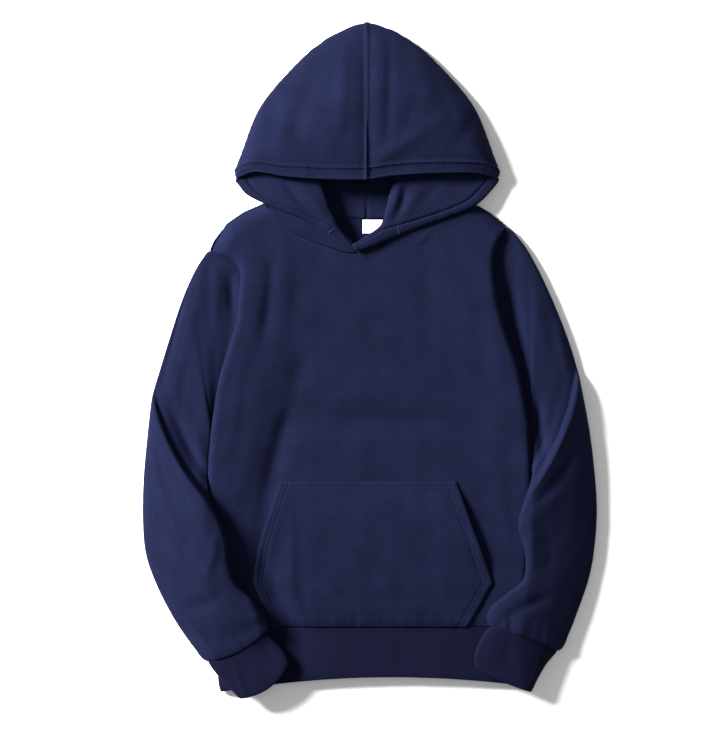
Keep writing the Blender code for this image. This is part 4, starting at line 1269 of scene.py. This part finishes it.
class StageSettings(bpy.types.PropertyGroup):
    """Camera of the stage: its height and how much of the table it shows."""
    camera_height: FloatProperty(name="Camera height", description="Height of the camera over the table",
                                 default=3.2, unit="LENGTH", subtype="DISTANCE")
    view_height: FloatProperty(name="View height", description="Length of table that the picture shows",
                               default=1.0614, unit="LENGTH", subtype="DISTANCE")


class HOODIE_OT_body(bpy.types.Operator):
    """Lay the back panel and the front panel with its sides rolled under"""
    bl_idname = "hoodie.body"
    bl_label = "Body panels"

    def execute(self, context):
        grid = surface(front_place, spread((-1, 0, 1, 2), (24, 360, 24)), spread((0, 1), (420,)))
        grid = redraw(grid, 1, (0, 1, 2, 3, 4.2, 5.6, 7, 8, 9, 10.4, 12.5, 15),
                      (0, 1.4, 2.6, 3.8, 5, 6.2, 7.6, 10))
        grid = redraw(grid, 0, (0, 1.5, 3, 5), (0, 1.5, 3, 5))
        low, high = lengths(grid, 1), run_back(grid, 1)
        puff = 0.5 * (1 + uneven(lengths(grid, 0), 31))
        relief = seam_relief((low, 0, 6.0, -1.3), (low, 3, 1.1, -0.3), (low, 8, 1.1, -0.4),
                             (low, 14, 8.0, puff), (high, 3.4, 1.3, -0.8), (high, 11, 6.0, 0.5))
        front = cloth_object("front_panel", grid, 1, relief=relief)
        lines = [seam_points(front, 0, 3), seam_points(front, 0, 8), seam_points(front, 0, -6, 0.22, 0.86)]
        seams = stitches("body_stitching", lines)
        grid = surface(back_place, spread((0, 1), (110,)), spread((0, 1), (140,)))
        back = cloth_object("back_panel", grid, 1)
        return {"FINISHED"}


class HOODIE_OT_sleeves(bpy.types.Operator):
    """Fold both sleeves in over the body"""
    bl_idname = "hoodie.sleeves"
    bl_label = "Sleeves"

    def execute(self, context):
        for side in (-1, 1):
            last = len(SLEEVES[side].depth)
            grid = surface(partial(sleeve_place, side), spread((0, 1), (count(400),)),
                           spread((0, 1, 4, last), (40, 130, 260)) / last)
            grid = redraw(grid, 1, (0, 1.2, 2.4, 3.8, 5.6), (0, 1.2, 2.4, 3.6, 5, 7, 9.5))
            begin, end = lengths(grid, 1), run_back(grid, 1)
            puff = 0.55 * (1 + uneven(lengths(grid, 0), 24))
            relief = seam_relief((begin, 0, 2.2, -0.7), (end, 0, 2.6, -1.7), (end, 11, 7.0, puff))
            name = "sleeve_" + side_name(side)
            sleeve = cloth_object(name, grid, side, closed=True, relief=relief)
            seams = stitches(name + "_stitching", [seam_points(sleeve, 0, -4)])
        return {"FINISHED"}


class HOODIE_OT_cuffs(bpy.types.Operator):
    """Set a ribbed cuff into the end of each sleeve"""
    bl_idname = "hoodie.cuffs"
    bl_label = "Cuffs"

    def execute(self, context):
        for side in (-1, 1):
            grid = surface(partial(cuff_place, side), spread((0, 1), (count(330),)),
                           spread((0, 0.05, 0.333, 1), (6, 30, 60)))
            grid = redraw(grid, 1, (0, 2, 4), (0, 1, 2, 3.4, 5.4), net_pitch() * 0.8)
            end = run_back(grid, 1)
            cuff = cloth_object("cuff_" + side_name(side), grid, side, "rib", closed=True,
                                relief=seam_relief((end, 0, 1.6, -0.5), (end, 7, 5.0, 0.3)))
        return {"FINISHED"}


class HOODIE_OT_band(bpy.types.Operator):
    """Set the ribbed band into the body's lower edge"""
    bl_idname = "hoodie.band"
    bl_label = "Waist band"

    def execute(self, context):
        grid = surface(band_place, spread((0, 1), (count(1000),)), spread((0, 0.2, 1), (40, 80)))
        grid = redraw(grid, 1, (0, 2, 4, 6), (0, 1, 2, 3.4, 5.4))
        top, end = lengths(grid, 1), run_back(grid, 1)
        puckers = 0.12 * uneven(lengths(grid, 0), 27)
        relief = seam_relief((end, 0, 1.6, -0.5), (end, 8, 6.0, 0.35), (top, 8, 11.0, puckers),
                             (top, 4.5, 3.5, 0.7))
        band = cloth_object("waist_band", grid, -1, "rib", closed=True, relief=relief)
        return {"FINISHED"}


class HOODIE_OT_pocket(bpy.types.Operator):
    """Lay the pouch pocket on the front"""
    bl_idname = "hoodie.pocket"
    bl_label = "Pouch pocket"

    def execute(self, context):
        grid = surface(pocket_place, spread((0, 1), (240,)), spread((0, 1), (200,)))
        edges = (0, 1, 2.2, 3.6, 5.4, 6.8, 8, 9.2, 11, 12.8, 14, 15.2, 17, 19.5)
        grid = redraw(grid, 0, edges, edges, FINE_PITCH)
        grid = redraw(grid, 1, (0, 1.5, 3, 4.5, 6), (0, 1, 2, 3.2, 4.8, 6.4, 7.6, 8.8, 10.5), FINE_PITCH)
        low, top = lengths(grid, 1), run_back(grid, 1)
        rows = [(top, 0, 1.6, -0.7), (top, 2, 0.9, -0.4), (top, 7.6, 0.9, -0.4), (low, 0, 5.0, -1.9)]
        for run in (lengths(grid, 0), run_back(grid, 0)):
            rows += [(run, 0, 1.2, -0.5), (run, 8, 0.9, -0.35), (run, 14, 1.1, -0.6), (run, 4.5, 3.0, 0.3)]
        pocket = cloth_object("pouch_pocket", grid, 1, relief=seam_relief(*rows))
        lines = [seam_points(pocket, 0, line) for line in (-3, -7)]
        lines += [seam_points(pocket, 1, line) for line in (6, 10, -7, -11)]
        lines += [seam_points(pocket, 1, line, 0, 0.29) for line in (2, -3)]
        seams = stitches("pocket_stitching", lines)
        return {"FINISHED"}


class HOODIE_OT_hood(bpy.types.Operator):
    """Spread both halves of the hood above the shoulders"""
    bl_idname = "hoodie.hood"
    bl_label = "Hood"

    def execute(self, context):
        hem = (0, 0.9, 2, 4, 7, 10.5, 13, 14.8, 16, HEM, 18, 19.2, 21, 24)
        line = hem.index(HEM)
        for side in (-1, 1):
            flaps = len(FLAPS[side].seam)
            last = flaps + len(CROWN.seam) - 1
            around = spread((0, flaps - 2, flaps + 1, last), (count(200), 26, count(340)))
            inward = spread(range(9), (40, 40, 90, 90, 30, 24, 40, 40))
            grid = redraw(hood_surface(side, around, inward), 1, hem, (0, 1.5, 3, 5, 8), FINE_PITCH)
            grid = redraw(grid, 0, (0, 2), (0, 1, 2, 3, 4.4, 6.4))
            rim, neck, centre = lengths(grid, 1), run_back(grid, 1), run_back(grid, 0)
            sewn = rim[:, line:line + 1]
            puckers = 0.4 * uneven(lengths(grid, 0)[:, :1], 17)
            relief = seam_relief((rim, 0, 1.5, -0.5), (rim, sewn, 1.5, -1.1), (rim, sewn + 5, 3.0, 0.5),
                                 (rim, sewn - 3, 9.0, puckers), (neck, 0, 2.2, -0.8),
                                 (centre, 0, 2.6, 0.5 * side - 1.5), (centre, 5, 3.0, 0.25))
            relief = relief + 0.8 * (1 - (2 * np.clip(rim / sewn, 0, 1) - 1) ** 4)
            name = "hood_" + side_name(side)
            half = cloth_object(name, grid, side, relief=relief)
            lines = [seam_points(half, 0, line), seam_points(half, 0, line, outer=-1)]
            seams = stitches(name + "_stitching", lines)
            ends = bartack(half, HEM_ENDS[side], line)
            bar = stitches(name + "_bartack", ends, BARTACK_PITCH, BARTACK)
        return {"FINISHED"}


class HOODIE_OT_label(bpy.types.Operator):
    """Lay the blank tape at the back of the neck"""
    bl_idname = "hoodie.label"
    bl_label = "Neck label"

    def execute(self, context):
        grid = surface(label_place, np.linspace(0, 1, 21), np.linspace(0, 1, 15))
        tape = cloth_object("neck_label", grid, 1, "tape", wall=LABEL_SIZE[2])
        return {"FINISHED"}


class HOODIE_OT_stage(bpy.types.Operator):
    """Set the pale table, the soft lights and the camera"""
    bl_idname = "hoodie.stage"
    bl_label = "Stage"

    def execute(self, context):
        scene = context.scene
        settings = scene.hoodie_stage
        net = bmesh.new()
        bmesh.ops.create_grid(net, x_segments=1, y_segments=1, size=TABLE_SIZE)
        bmesh.ops.translate(net, verts=net.verts, vec=(0, 0, TABLE_TOP))
        mesh = new_mesh("table", net)
        finish = bpy.data.materials.new("matt_white_board")
        finish.use_nodes = True
        shader = finish.node_tree.nodes["Principled BSDF"]
        shader.inputs["Base Color"].default_value = (0.86, 0.86, 0.87, 1)
        shader.inputs["Roughness"].default_value = 0.9
        shader.inputs["Specular IOR Level"].default_value = 0.1
        mesh.materials.append(finish)
        floor = add_object("table", mesh)
        for name, place, size, power in LIGHTS:
            light = bpy.data.lights.new(name, "AREA")
            light.shape = "DISK"
            light.size = size
            light.energy = power
            lamp = add_object(name, light)
            lamp.location = place
            lamp.rotation_euler = (-Vector(place)).to_track_quat("-Z", "Y").to_euler()
        world = bpy.data.worlds.new("studio")
        scene.world = world
        world.use_nodes = True
        world.node_tree.nodes["Background"].inputs["Color"].default_value = (1, 1, 1, 1)
        world.node_tree.nodes["Background"].inputs["Strength"].default_value = WORLD_STRENGTH
        camera = bpy.data.cameras.new("camera")
        camera.lens = camera.sensor_width * (settings.camera_height - FOCUS_HEIGHT) / settings.view_height
        camera.clip_end = 30
        view = add_object("camera", camera)
        view.location = (*CAMERA_PLACE, settings.camera_height)
        scene.camera = view
        scene.view_settings.view_transform = "Standard"
        return {"FINISHED"}


OPERATORS = (HOODIE_OT_body, HOODIE_OT_sleeves, HOODIE_OT_cuffs, HOODIE_OT_band, HOODIE_OT_pocket,
             HOODIE_OT_hood, HOODIE_OT_label, HOODIE_OT_stage)


class HOODIE_PT_panel(bpy.types.Panel):
    """Sizes, colours and pieces of the hoodie"""
    bl_idname = "HOODIE_PT_panel"
    bl_label = "Laid hoodie"
    bl_space_type = "VIEW_3D"
    bl_region_type = "UI"
    bl_category = "Hoodie"

    def draw(self, context):
        for group in (context.scene.hoodie, context.scene.hoodie_stage):
            for name in group.__annotations__:
                self.layout.prop(group, name)
        for operator in OPERATORS:
            self.layout.operator(operator.bl_idname)


CLASSES = (HoodieSettings, StageSettings) + OPERATORS + (HOODIE_PT_panel,)


def register():
    """Add the classes and the settings to Blender."""
    for item in CLASSES:
        bpy.utils.register_class(item)
    bpy.types.Scene.hoodie = PointerProperty(type=HoodieSettings)
    bpy.types.Scene.hoodie_stage = PointerProperty(type=StageSettings)


def unregister():
    """Take the classes and the settings out again."""
    del bpy.types.Scene.hoodie_stage
    del bpy.types.Scene.hoodie
    for item in reversed(CLASSES):
        bpy.utils.unregister_class(item)


def main():
    """Build every piece and the stage."""
    register()
    for operator in OPERATORS:
        group, name = operator.bl_idname.split(".")
        getattr(getattr(bpy.ops, group), name)()


if __name__ == "__main__":
    main()
